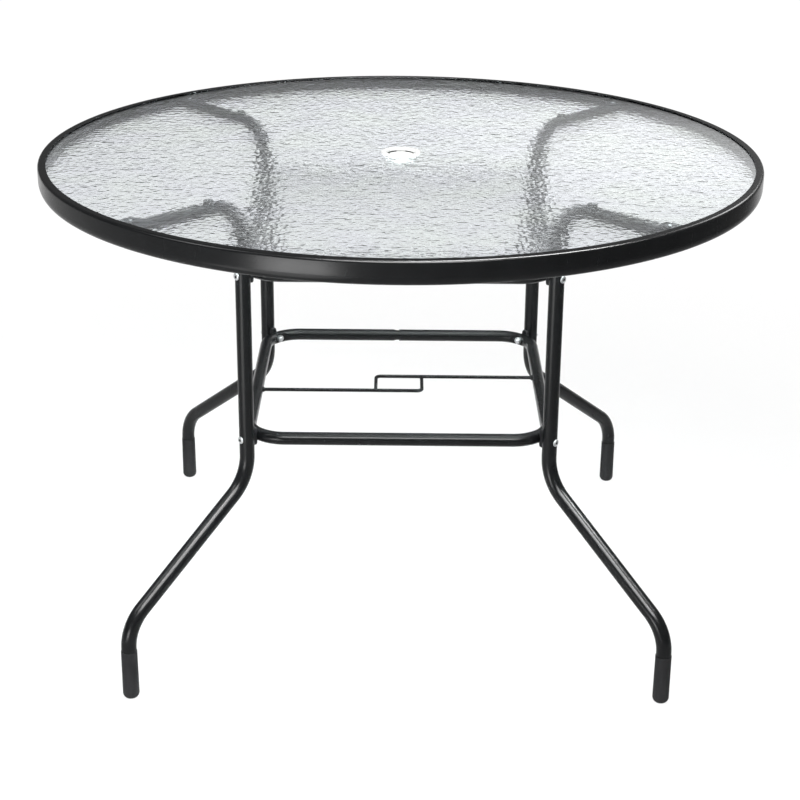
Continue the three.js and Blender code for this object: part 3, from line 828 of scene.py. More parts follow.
class GeometryRecipe:
    """A geometry node group with named inputs, run on a mesh and turned into a plain mesh."""

    def __init__(self, name: str, inputs: dict[str, tuple[str, object]]) -> None:
        """Starts a group.

        Args:
            name: the group's name.
            inputs: the socket type and starting value of each input, by name.
        """
        self.group = bpy.data.node_groups.new(name, "GeometryNodeTree")
        self.sheet = NodeSheet(self.group)
        interface = self.group.interface
        interface.new_socket("Geometry", in_out="INPUT", socket_type="NodeSocketGeometry")
        interface.new_socket("Geometry", in_out="OUTPUT", socket_type="NodeSocketGeometry")
        for label, (kind, value) in inputs.items():
            socket = interface.new_socket(label, in_out="INPUT", socket_type=kind)
            if value is not None:
                socket.default_value = value
        interface.new_socket("Finish", in_out="INPUT", socket_type="NodeSocketMaterial")
        self.entry = self.sheet.add("NodeGroupInput")

    def given(self, label: str) -> Socket:
        """An input of the group, for use in it."""
        return self.entry.outputs[label]

    def close(self, geometry: Socket) -> None:
        """Ends the group: instances become real and take the finish."""
        real = self.sheet.result("GeometryNodeRealizeInstances", {}, {0: geometry})
        painted = {"Geometry": real, "Material": self.given("Finish")}
        self.sheet.add("NodeGroupOutput", {}, {0: self.sheet.result("GeometryNodeSetMaterial", {}, painted)})

    def run(self, name: str, mesh: Mesh, finish: Finish, values: dict[str, object],
            smooth_angle: float = SMOOTH_ANGLE) -> Mesh:
        """Runs the group on a mesh.

        Args:
            name: name of the new mesh.
            mesh: the mesh that goes in.
            finish: the finish that the group gives.
            values: the values of its inputs, by name.
            smooth_angle: edges that are sharper than this stay sharp.

        Returns:
            A plain mesh.
        """
        carrier = add_object(name + "_carrier", mesh)
        modifier = carrier.modifiers.new("recipe", "NODES")
        modifier.node_group = self.group
        for label, value in {**values, "Finish": PAINTS.get(finish)}.items():
            modifier[self._identifier(label)] = value
        graph = bpy.context.evaluated_depsgraph_get()
        made = bpy.data.meshes.new_from_object(carrier.evaluated_get(graph), depsgraph=graph)
        made.name = name
        carrier.modifiers.remove(modifier)
        bpy.data.objects.remove(carrier)
        tidy_mesh(made, smooth_angle)
        return made

    def _identifier(self, label: str) -> str:
        """The identifier of an input."""
        return next(item.identifier for item in self.group.interface.items_tree
                    if item.name == label and item.in_out == "INPUT")


def make_tube_recipe() -> GeometryRecipe:
    """A round bar along a path of points, closed at both ends."""
    recipe = GeometryRecipe("bar_along_path", {
        "Radius": ("NodeSocketFloat", STOCK.leg.radius),
        "Sides": ("NodeSocketInt", STOCK.leg.sides),
    })
    sheet = recipe.sheet
    path = sheet.result("GeometryNodeMeshToCurve", {}, {"Mesh": recipe.given("Geometry")})
    sizes = {"Resolution": recipe.given("Sides"), "Radius": recipe.given("Radius")}
    section = sheet.result("GeometryNodeCurvePrimitiveCircle", {"mode": "RADIUS"}, sizes)
    swept = {"Curve": path, "Profile Curve": section, "Fill Caps": True}
    recipe.close(sheet.result("GeometryNodeCurveToMesh", {}, swept))
    return recipe


def make_scatter_recipe() -> GeometryRecipe:
    """One fastener on every point of a mesh, turned the way the point's facing attribute says."""
    recipe = GeometryRecipe("fastener_at_points", {"Fastener": ("NodeSocketObject", None)})
    sheet = recipe.sheet
    named = {"data_type": "FLOAT_VECTOR"}
    facing = sheet.result("GeometryNodeInputNamedAttribute", named, {"Name": "facing"})
    turn = sheet.result("FunctionNodeAlignRotationToVector", {"axis": "Z"}, {"Vector": facing})
    fastener = sheet.result("GeometryNodeObjectInfo", {}, {"Object": recipe.given("Fastener")}, "Geometry")
    copied = {"Points": recipe.given("Geometry"), "Instance": fastener, "Rotation": turn}
    recipe.close(sheet.result("GeometryNodeInstanceOnPoints", {}, copied))
    return recipe


def make_relief_recipe() -> GeometryRecipe:
    """A rolled pebble relief, pressed into the points whose relief attribute is above zero."""
    starts = {"Pebble Size": 16 * MM, "Depth": 0.28 * MM, "Randomness": 0.8, "Swell Size": 60 * MM,
              "Swell Depth": 0.1 * MM}
    inputs = {label: ("NodeSocketFloat", start) for label, start in starts.items()}
    recipe = GeometryRecipe("pebble_relief", inputs)
    sheet = recipe.sheet
    given = {label: Signal(sheet, recipe.given(label)) for label in starts}
    dome = sheet.pebbles({"Scale": given["Pebble Size"] ** -1.0, "Randomness": given["Randomness"]}) - 0.5
    swell = sheet.number("ShaderNodeTexNoise", {"noise_dimensions": "2D"},
                         {"Scale": given["Swell Size"] ** -1.0, "Detail": 1.0})
    share = sheet.number("GeometryNodeInputNamedAttribute", {"data_type": "FLOAT"}, {"Name": "relief"})
    rise = (dome * given["Depth"] + (swell - 0.5) * given["Swell Depth"]) * share
    moved = {0: recipe.given("Geometry"), "Offset": sheet.result("ShaderNodeCombineXYZ", {}, {"Z": rise})}
    recipe.close(sheet.result("GeometryNodeSetPosition", {}, moved))
    return recipe


class Recipes:
    """The geometry node groups of the table, each made once."""

    bar_smooth_angle = math.radians(60)

    def __init__(self) -> None:
        """Builds the groups."""
        self.tube = make_tube_recipe()
        self.scatter = make_scatter_recipe()
        self.relief = make_relief_recipe()

    def bar(self, name: str, points: Sequence[Vector], tube: Tube, finish: Finish) -> Mesh:
        """A round bar along some points."""
        path = bpy.data.meshes.new(name + "_path")
        edges = [(i, i + 1) for i in range(len(points) - 1)]
        path.from_pydata([tuple(point) for point in points], edges, [])
        values = {"Radius": tube.radius, "Sides": tube.sides}
        return self.tube.run(name, path, finish, values, self.bar_smooth_angle)

    def fasteners(self, name: str, shape: Mesh, places: Sequence[tuple[Vector, Vector]],
                  finish: Finish) -> Mesh:
        """Copies of one fastener.

        Args:
            name: name of the new mesh.
            shape: the fastener, along +Z.
            places: where each one goes and which way it points.
            finish: its finish.

        Returns:
            One mesh of all the copies.
        """
        sample = bpy.data.objects.new(name + "_sample", shape)
        points = bpy.data.meshes.new(name + "_points")
        points.from_pydata([tuple(point) for point, _ in places], [], [])
        facing = points.attributes.new("facing", "FLOAT_VECTOR", "POINT")
        facing.data.foreach_set("vector", [value for _, way in places for value in way])
        made = self.scatter.run(name, points, finish, {"Fastener": sample})
        bpy.data.objects.remove(sample)
        return made


@dataclass
class Rim:
    """The roll-formed steel rim: lip, wall, tucked bottom, inner wall and ledge."""

    sheet: float = 1.0 * MM
    lip_width: float = 12 * MM
    edge_radius: float = 4 * MM
    tuck_height: float = 12 * MM
    tuck_depth: float = 6.3 * MM
    seam_gap: float = 1.9 * MM
    ledge_radius: float = 1.2 * MM
    facets: int = 384

    def profile(self) -> list[Pair]:
        """The outline of the strip's section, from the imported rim's radius and heights."""
        low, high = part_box("rim")
        glass_low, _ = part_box("glass_top")
        half = self.sheet / 2
        wall = high.x - half
        inner = high.x - self.lip_width
        tuck = [(wall - self.tuck_depth * (1 - math.cos(a)), low.z + self.tuck_height
                 - (self.tuck_height - half) * math.sin(a)) for a in quarter_turn(10)]
        ledge = glass_low.z - FIT_GAP - half
        upper = rounded([
            (inner + half, high.z - half, 0),
            (wall, high.z - half, self.edge_radius - half),
            (wall, low.z + self.tuck_height, 0),
        ], closed=False, steps=8)
        lower = rounded([
            tuck[-1] + (0,),
            (inner + half, low.z + half, self.ledge_radius),
            (inner + half, ledge, self.ledge_radius),
            (high.x - self.sheet - self.seam_gap, ledge, 0),
        ], closed=False)
        return sheet_outline([*upper, *tuck[1:-1], *lower], self.sheet)

    def build(self) -> None:
        """Makes the rim."""
        show_turned("rim_strip", stations(self.profile(), self.facets), BLACK_PAINT, ["rim"])


@dataclass
class GlassTop:
    """The pebbled glass, with ground edges."""

    recipes: Recipes
    arris: float = 1.0 * MM
    hole_radius: float = 24 * MM
    cell: float = 3.6 * MM
    pebble_size: float = 12 * MM
    pebble_depth: float = 0.21 * MM
    swell_size: float = 60 * MM
    swell_depth: float = 0.1 * MM
    randomness: float = 0.8
    plain_margin: float = 12 * MM
    hole_points: int = 64
    most_points: int = 1024
    longest_arc: float = 1.2
    top_shares: tuple[float, ...] = (0.45, 0.21, 0.1)
    flat_gap: float = 0.01 * MM

    def _rings_out(self, outer: float) -> list[tuple[float, int]]:
        """Radii from the hole to the edge, with how many points each ring has."""
        steps = math.ceil((outer - self.hole_radius) / self.cell)
        radii = [self.hole_radius + (outer - self.hole_radius) * i / steps for i in range(steps + 1)]
        counts = [self.hole_points]
        for radius in radii[1:]:
            arc = 2 * math.pi * radius / counts[-1]
            wide = arc > self.cell * self.longest_arc and counts[-1] < self.most_points
            counts.append(counts[-1] * 2 if wide else counts[-1])
        return list(zip(radii, counts))

    def build(self) -> None:
        """Makes the glass."""
        low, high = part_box("glass_top")
        outer = high.x
        rings = self._rings_out(outer - self.arris)
        rings[0] = (self.hole_radius + self.arris, rings[0][1])
        many = rings[-1][1]
        bottom = [Station(radius, low.z, count) for radius, count in rings]
        edge = [Station(outer, low.z + self.arris, many), Station(outer, high.z - self.arris, many)]
        top_radii = [outer - self.arris, *[share * outer for share in self.top_shares],
                     self.hole_radius + self.arris]
        top = [Station(radius, high.z, many >> i) for i, radius in enumerate(top_radii)]
        hole = [Station(self.hole_radius, height, self.hole_points)
                for height in (high.z - self.arris, low.z + self.arris)]
        mesh = MeshMaker().turn_rings([*bottom, *edge, *top, *hole], closed=True).mesh("glass_plate")
        self._mark_relief(mesh, low.z, outer)
        values = {"Pebble Size": self.pebble_size, "Depth": self.pebble_depth, "Randomness": self.randomness,
                  "Swell Size": self.swell_size, "Swell Depth": self.swell_depth}
        made = self.recipes.relief.run("glass_plate", mesh, GLASS, values)
        show("glass_plate", made, GLASS, ["glass_top"])

    def _mark_relief(self, mesh: Mesh, bottom: float, outer: float) -> None:
        """Marks the underside for the relief, which fades at the hole and at the edge."""
        marks = []
        for vertex in mesh.vertices:
            radius = math.hypot(vertex.co.x, vertex.co.y)
            inset = min(radius - self.hole_radius - self.arris, outer - self.arris - radius)
            share = min(1.0, max(0.0, inset / self.plain_margin))
            marks.append(share if abs(vertex.co.z - bottom) < self.flat_gap else 0.0)
        mesh.attributes.new("relief", "FLOAT", "POINT").data.foreach_set("value", marks)


@dataclass
class UmbrellaRing:
    """The white bush in the hole of the glass, which lifts out."""

    bore_radius: float = 21 * MM
    neck_radius: float = 23.5 * MM
    neck_taper: float = 1.1 * MM
    neck_straight: float = 8 * MM
    neck_rounds: Triple = (0.4 * MM, 0.8 * MM, 2 * MM)
    flange_round: float = 0.8 * MM
    flange_edge: float = 0.2 * MM
    mouth_round: float = 1.2 * MM
    seam_drop: float = 4.7 * MM
    seam_half: float = 0.9 * MM
    seam_depth: float = 0.9 * MM
    seam_edge: float = 0.2 * MM
    seam_reach: float = 22.3 * MM
    facets: int = 160

    def build(self) -> None:
        """Makes the ring."""
        low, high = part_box("umbrella_ring")
        _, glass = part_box("glass_top")
        under = glass.z + FIT_GAP
        seam = high.z - self.seam_drop
        bore, groove, half = self.bore_radius, self.bore_radius + self.seam_depth, self.seam_half
        bore_end, neck_end, taper_end = self.neck_rounds
        profile = rounded([
            (bore, low.z, bore_end),
            (self.neck_radius - self.neck_taper, low.z, neck_end),
            (self.neck_radius, under - self.neck_straight, taper_end),
            (self.neck_radius, under, 0),
            (high.x, under, self.flange_edge),
            (high.x, high.z, self.flange_round),
            (bore, high.z, self.mouth_round),
            (bore, seam + half, self.seam_edge),
            (groove, seam + half * 0.5, 0),
            (groove, seam - half * 0.5, 0),
            (bore, seam - half, self.seam_edge),
        ], closed=True)
        rings = stations(profile, self.facets)
        show_turned("umbrella_bush", rings, WHITE_PLASTIC, ["umbrella_ring"], RING_BODY)


@dataclass
class Legs:
    """Four bent tubes: arm under the glass, post, slanted shin and foot."""

    recipes: Recipes
    shin_top: float = 277 * MM
    shin_bottom: float = 114 * MM
    arm_bend: float = 52 * MM
    knee_bend: float = 70 * MM
    ankle_bend: float = 65 * MM
    arm_end: float = 518.1 * MM
    foot_bottom: float = 9.3 * MM
    arm_height: float = 689.6 * MM

    def route(self) -> Route:
        """The middle line of a leg that points along +X."""
        corners = ((self.arm_end, self.arm_height), (STOCK.post_circle, self.arm_height),
                   (STOCK.post_circle, self.shin_top), (STOCK.foot_circle, self.shin_bottom),
                   (STOCK.foot_circle, self.foot_bottom))
        bends = (self.arm_bend, self.knee_bend, self.ankle_bend)
        return Route(tuple(Vector((x, 0, z)) for x, z in corners), bends)

    def build(self) -> None:
        """Makes the legs."""
        points = self.route().points()
        for corner in Corner:
            name = f"leg_tube_{corner.label}"
            turned = [corner.turn @ point for point in points]
            tube = self.recipes.bar(name, turned, STOCK.leg, BLACK_PAINT)
            show(name, tube, BLACK_PAINT, [f"leg_{corner.label}"])


@dataclass
class FootCaps:
    """Plastic sleeves with a rounded end on the feet."""

    wall: float = 0.6 * MM
    mouth_wall: float = 0.35 * MM
    floor: float = 9 * MM
    flat_radius: float = 4 * MM
    round_height: float = 8.8 * MM
    mouth_round: float = 0.15 * MM
    facets: int = 64

    def build(self) -> None:
        """Makes the caps."""
        bore = STOCK.leg.radius + FIT_GAP
        outer = bore + self.wall
        for corner in Corner:
            _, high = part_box(f"foot_cap_{corner.label}")
            end = [(self.flat_radius + (outer - self.flat_radius) * math.sin(a),
                    self.round_height * (1 - math.cos(a))) for a in quarter_turn(8)]
            mouth = rounded([
                (outer, self.round_height, 0), (bore + self.mouth_wall, high.z, self.mouth_round),
                (bore, high.z, self.mouth_round), (bore, self.floor, 0),
            ], closed=False)
            rings = stations([(0.0, 0.0), *end, *mouth[1:], (0.0, self.floor)], self.facets)
            place = corner.turn @ Matrix.Translation((STOCK.foot_circle, 0, 0))
            show_turned(f"foot_sleeve_{corner.label}", rings, CAP_PLASTIC, [f"foot_cap_{corner.label}"],
                        closed=False, place=place)


@dataclass
class Braces:
    """Two square rings of tube with pressed corners, each closed by a slip joint in its back bar."""

    recipes: Recipes
    socket_length: float = 6 * MM
    socket_wall: float = 1.05 * MM
    neck_radius: float = 8.2 * MM
    neck_shown: float = 4 * MM
    neck_taper: float = 6 * MM
    neck_inside: float = 5 * MM
    neck_wall: float = 1 * MM
    neck_round: float = 3 * MM
    mouth_rounds: Pair = (0.15 * MM, 0.3 * MM)
    tuck_in: float = 0.5 * MM
    tuck_depth: float = 0.3 * MM
    press_half_length: float = 7 * MM
    press_slope: float = 9 / 11
    press_smooth_angle: float = math.radians(30)
    step: float = math.radians(1.5)
    facets: int = 80

    def build(self) -> None:
        """Makes the braces."""
        for level in Level:
            side, height = STOCK.brace_half_side, level.height
            taper_start = -self.neck_shown - self.neck_taper
            corners = [(self.socket_length, side), (side, side), (side, -side), (-side, -side),
                       (-side, side), (taper_start, side)]
            path = tuple(Vector((x, y, height)) for x, y in corners)
            route = Route(path, (STOCK.brace_bend,) * 4, self.step)
            name = f"{level.value}_brace_tube"
            bar = self.recipes.bar(name, route.points(), STOCK.brace, BLACK_PAINT)
            self._press(bar)
            show(name, bar, BLACK_PAINT, [f"{level.value}_brace"])
            self._slip_joint(level, taper_start)

    def _press(self, bar: Mesh) -> None:
        """Presses the inner side of each corner flat, with a ramp at each end of the flat."""
        face = STOCK.brace_corner_circle - STOCK.brace.radius + STOCK.press_depth
        near = STOCK.brace_corner_circle - STOCK.brace_bend
        for corner in Corner:
            back = corner.turn.inverted()
            for vertex in bar.vertices:
                here = back @ vertex.co
                floor = face - max(0.0, abs(here.y) - self.press_half_length) * self.press_slope
                if near < here.x < floor:
                    vertex.co = corner.turn @ Vector((floor, here.y, here.z))
        tidy_mesh(bar, self.press_smooth_angle)

    def _slip_joint(self, level: Level, taper_start: float) -> None:
        """Makes the open end of the tube and the necked end that slips into it."""
        radius = STOCK.brace.radius
        bore = radius - self.socket_wall
        inside = radius - self.tuck_in
        mouth_end = self.socket_length + self.tuck_depth
        neck_end = taper_start - self.tuck_depth
        thin = self.neck_radius - self.neck_wall
        mouth = rounded([
            (bore, 0, self.mouth_rounds[0]), (radius, 0, self.mouth_rounds[1]),
            (radius, self.socket_length, 0), (inside, mouth_end, 0), (bore, mouth_end, 0),
        ], closed=True)
        neck = rounded([
            (thin, neck_end, 0), (inside, neck_end, 0), (radius, taper_start, 0),
            (self.neck_radius, -self.neck_shown, self.neck_round), (self.neck_radius, self.neck_inside, 0),
            (thin, self.neck_inside, 0),
        ], closed=True)
        middle = Matrix.Translation((0, STOCK.brace_half_side, level.height))
        for label, profile in (("mouth", mouth), ("neck", neck)):
            show_turned(f"{level.value}_brace_{label}", stations(profile, self.facets), BLACK_PAINT, [],
                        place=middle @ Matrix.Rotation(math.pi / 2, 4, "Y"))


@dataclass
class GuideWires:
    """Two hooked wires that steady the pole, welded to the lower brace and to each other."""

    recipes: Recipes
    offset: float = 30 * MM
    hook: float = 36 * MM
    bend: float = 8 * MM
    sunk: float = 1 * MM
    weld_length: float = 3.2 * MM
    weld_radius: float = 4.6 * MM
    hook_weld_radius: float = 3.5 * MM
    weld_smooth_angle: float = math.radians(70)
    weld_facets: int = 24

    def build(self) -> None:
        """Makes the wires and their welds."""
        side = STOCK.brace_half_side - STOCK.brace.radius
        hook_end = self.offset - STOCK.wire.radius
        for label, turn in (("back", 0.0), ("front", math.pi)):
            place = Matrix.Translation((0, 0, Level.LOWER.height)) @ Matrix.Rotation(turn, 4, "Z")
            corners = [(side + self.sunk, self.offset), (-self.hook, self.offset),
                       (-self.hook, -hook_end - self.sunk)]
            route = Route(tuple(place @ Vector((x, y, 0)) for x, y in corners), (self.bend,))
            name = f"{label}_wire"
            mesh = self.recipes.bar(name, route.points(), STOCK.wire, BLACK_PAINT)
            show(name, mesh, BLACK_PAINT, [f"{label}_guide_wire"])
            maker = MeshMaker()
            self._weld(maker, place, Vector((side, self.offset, 0)), Vector((-1, 0, 0)), self.weld_radius)
            hook_foot = Vector((-self.hook, -hook_end, 0))
            self._weld(maker, place, hook_foot, Vector((0, 1, 0)), self.hook_weld_radius)
            show(f"{name}_welds", maker.mesh(f"{name}_welds", self.weld_smooth_angle), BLACK_PAINT, [])

    def _weld(self, maker: MeshMaker, place: Matrix, foot: Vector, way: Vector, reach: float) -> None:
        """Adds the bead of one weld, wide at its foot and thin on the wire.

        Args:
            maker: the mesh that it goes into.
            place: where the wire lies.
            foot: the place of the joint on the wire's middle line.
            way: the way from the joint along the wire.
            reach: radius of the bead.
        """
        radius = STOCK.wire.radius
        profile = [(radius * 0.5, -2.6 * MM), (reach * 0.8, -2.2 * MM), (reach, -0.8 * MM),
                   (reach * 0.94, 0.5 * MM), (radius + 0.4 * MM, self.weld_length * 0.6),
                   (radius * 0.97, self.weld_length)]
        turned = place @ Matrix.Translation(foot) @ way.to_track_quat("Z", "Y").to_matrix().to_4x4()
        maker.turn_rings(stations(profile, self.weld_facets), closed=True, place=turned)


@dataclass
class Saddles:
    """Plastic spacers, hollowed on one side for the leg and on the other for the brace."""

    width: float = 11 * MM
    height: float = 28 * MM
    leg_wrap: float = 2 * MM
    brace_wrap: float = 2 * MM
    hole: float = 3.3 * MM
    edge: float = 0.5 * MM
    squareness: float = 4.0
    points: int = 48
    shares: tuple[float, ...] = (0.0, 0.25, 0.45, 0.6, 0.72, 0.82, 0.9, 0.95, 0.98, 1.0)
    rounded_from: float = 0.9
    rounded_share: float = 0.1

    def _outline(self, share: float) -> list[Pair]:
        """A ring between the bolt hole, at 0, and the rounded edge, at 1."""
        ring = []
        half_width, half_height = self.width / 2, self.height / 2
        for angle in full_turn(self.points):
            way = Vector((math.cos(angle), math.sin(angle)))
            reach = ((abs(way.x) / half_width) ** self.squareness
                     + (abs(way.y) / half_height) ** self.squareness)
            edge = way * reach ** (-1 / self.squareness)
            ring.append(tuple(way * self.hole * (1 - share) + edge * share))
        return ring

    def _leg_side(self, y: float) -> float:
        """Where the hollow for the leg lies, along the line from the middle to the leg."""
        hollow = STOCK.leg.radius + FIT_GAP
        wrapped = STOCK.post_circle - STOCK.leg.radius + self.leg_wrap
        return min(wrapped, STOCK.post_circle - math.sqrt(max(0.0, hollow**2 - y**2)))

    def _brace_side(self, y: float, z: float) -> float:
        """Where the hollow for the corner of the brace lies."""
        centre = STOCK.brace_corner_circle - STOCK.brace_bend
        hollow = STOCK.brace.radius + FIT_GAP
        flat = STOCK.post_circle - STOCK.leg.radius - FIT_GAP - STOCK.saddle_web - self.brace_wrap
        if abs(z) >= hollow:
            return flat
        bulge = STOCK.brace_bend + math.sqrt(hollow**2 - z**2)
        return max(flat, centre + math.sqrt(bulge**2 - y**2))

    def _rings(self) -> list[list[Vector]]:
        """Rings over the brace side from the hole outwards, and back over the leg side."""
        inner, outer = [], []
        for share in self.shares:
            outline = self._outline(share)
            past = max(0.0, (share - self.rounded_from) / self.rounded_share)
            ease = self.edge * (1 - math.sqrt(max(0.0, 1 - past**2)))
            inner.append([Vector((self._brace_side(y, z) + ease, y, z)) for y, z in outline])
            outer.append([Vector((self._leg_side(y) - ease, y, z)) for y, z in outline])
        return [*inner, *reversed(outer)]

    def build(self) -> None:
        """Makes the saddles."""
        rings = self._rings()
        for level, corner in JOINTS:
            name = f"spacer_{level.value}_{corner.label}"
            place = corner.turn @ Matrix.Translation((0, 0, level.height))
            mesh = MeshMaker().add_grid(rings, place).mesh(name)
            show(name, mesh, SADDLE_PLASTIC, [f"saddle_{level.value}_{corner.label}"])


@dataclass
class Fasteners:
    """Button-head bolts through legs, saddles and braces, their nuts, and the bracket screws."""

    recipes: Recipes
    radius: float = 2.95 * MM
    head_radius: float = 5.3 * MM
    head_height: float = 2.4 * MM
    head_rim: float = 1.0 * MM
    head_fullness: float = 0.6
    socket_radius: float = 2.2 * MM
    socket_depth: float = 1.4 * MM
    socket_chamfer: float = 0.25 * MM
    socket_shares: Triple = (0.96, 1.01, 1.04)
    lip_drop: float = 0.05 * MM
    dome_steps: int = 8
    dome_kept: int = 6
    head_round: float = 0.15 * MM
    seat_gap: float = 0.05 * MM
    thread_pitch: float = 1.0 * MM
    thread_depth: float = 0.35 * MM
    thread_steps: Triple = (0.15 * MM, 0.5 * MM, 0.85 * MM)
    bolt_thread: float = 14 * MM
    screw_thread: float = 8 * MM
    end_chamfer: Pair = (0.5 * MM, 0.8 * MM)
    end_proud: float = 2 * MM
    nut_flats: float = 9.96 * MM
    nut_thickness: float = 5 * MM
    nut_corners: float = 0.93
    nut_bevels: Pair = (0.35 * MM, 0.6 * MM)
    nut_gaps: Pair = (0.1 * MM, 0.6 * MM)
    nut_mouth: float = 0.5 * MM
    nut_sunk: float = 0.1 * MM
    bolt_smooth_angle: float = math.radians(28)
    nut_smooth_angle: float = math.radians(25)
    facets: int = 36

    def _thread(self, low: float, high: float) -> list[Pair]:
        """The outline of a stretch of thread, from its upper end down."""
        crest_end, root, next_crest = self.thread_steps
        points = []
        for i in range(int((high - low) / self.thread_pitch)):
            crest = high - i * self.thread_pitch
            points += [(self.radius, crest), (self.radius, crest - crest_end),
                       (self.radius - self.thread_depth, crest - root), (self.radius, crest - next_crest)]
        return points

    def _bolt(self, length: float, thread: float) -> Mesh:
        """A bolt with the seat of its head at the origin and its shank below."""
        rise = self.head_height - self.head_rim
        dome = [(self.head_radius * math.cos(a) ** self.head_fullness, self.head_rim + rise * math.sin(a))
                for a in quarter_turn(self.dome_steps)[:self.dome_kept]]
        socket = self.socket_radius
        floor_reach, recess, lip = (socket * share for share in self.socket_shares)
        floor = self.head_height - self.socket_depth
        end_step, end_length = self.end_chamfer
        outline = [
            (0.0, floor - self.socket_chamfer), (floor_reach, floor),
            (socket, self.head_height - self.socket_chamfer), (lip, self.head_height - self.lip_drop),
            *[point for point in reversed(dome) if point[0] > lip], (self.head_radius, self.head_round),
            (self.head_radius - self.head_round, 0.0), (self.radius, 0.0),
            *self._thread(-length + end_length, -length + thread),
            (self.radius - end_step, -length), (0.0, -length),
        ]
        maker = MeshMaker().turn_rings(stations(outline, self.facets), closed=False)
        self._hexagon_socket(maker)
        mesh = maker.mesh("bolt_shape", self.bolt_smooth_angle)
        # Marks the socket's points, where the zinc finish paints shade.
        inside = [float(v.co.z > 0 and math.hypot(v.co.x, v.co.y) < recess) for v in mesh.vertices]
        mesh.attributes.new("recess", "FLOAT", "POINT").data.foreach_set("value", inside)
        return mesh

    def _hexagon_socket(self, maker: MeshMaker) -> None:
        """Presses the two lowest rings of the socket into a hexagon."""
        for ring in range(2):
            for k, angle in enumerate(full_turn(self.facets)):
                share = math.cos(math.pi / 6) / math.cos(off_flat(angle))
                point = maker.points[1 + ring * self.facets + k]
                point.x, point.y = point.x * share, point.y * share

    def _nut(self) -> Mesh:
        """A hexagon nut on the origin, with turned-off corners, rising along +Z."""
        high, corners = self.nut_thickness, self.nut_corners
        bore, mouth = (self.radius + gap for gap in self.nut_gaps)
        low_bevel, high_bevel = self.nut_bevels
        outside = ((corners, 0.0), (1.0, low_bevel), (1.0, high - high_bevel), (corners, high))
        inside = ((mouth, high), (bore, high - self.nut_mouth), (bore, self.nut_mouth), (mouth, 0.0))
        rings = [self._hexagon(reach, z) for reach, z in outside]
        rings += [[around(radius, angle, z) for angle in full_turn(self.facets)] for radius, z in inside]
        return MeshMaker().add_grid(rings).mesh("nut_shape", self.nut_smooth_angle)

    def _hexagon(self, reach: float, z: float) -> list[Vector]:
        """A ring on a hexagon, whose corners are turned off to a share of their reach."""
        across = self.nut_flats / 2
        corner = across / math.cos(math.pi / 6) * reach
        return [around(min(across / math.cos(off_flat(angle)), corner), angle, z)
                for angle in full_turn(self.facets)]

    def build(self) -> None:
        """Makes the bolts, nuts and screws, one mesh of each kind."""
        seat = STOCK.post_circle + STOCK.leg.radius + self.seat_gap
        nut_seat = STOCK.brace_corner_circle - STOCK.brace.radius + STOCK.press_depth - self.nut_sunk
        length = seat - nut_seat + self.nut_thickness + self.end_proud
        for kind, shape, radius, way in (("bolt", self._bolt(length, self.bolt_thread), seat, 1),
                                         ("nut", self._nut(), nut_seat, -1)):
            places = [(corner.turn @ Vector((radius, 0, level.height)), corner.turn @ Vector((way, 0, 0)))
                      for level, corner in JOINTS]
            name = f"frame_{kind}s"
            made = self.recipes.fasteners(name, shape, places, ZINC)
            show(name, made, ZINC, [f"{kind}_{level.value}_{corner.label}" for level, corner in JOINTS])
        self._screws()

    def _screws(self) -> None:
        """Makes the screws that hold the rim brackets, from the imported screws' places."""
        places = []
        for corner in Corner:
            low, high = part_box(f"bracket_screw_{corner.label}")
            middle = (low + high) / 2
            places.append((Vector((middle.x, middle.y, low.z + self.head_height)), Vector((0, 0, -1))))
        low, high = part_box(f"bracket_screw_{Corner.FRONT_LEFT.label}")
        length = high.z - low.z - self.head_height
        shape = self._bolt(length, self.screw_thread)
        screws = self.recipes.fasteners("bracket_screws", shape, places, ZINC)
        show("bracket_screws", screws, ZINC, [f"bracket_screw_{corner.label}" for corner in Corner])


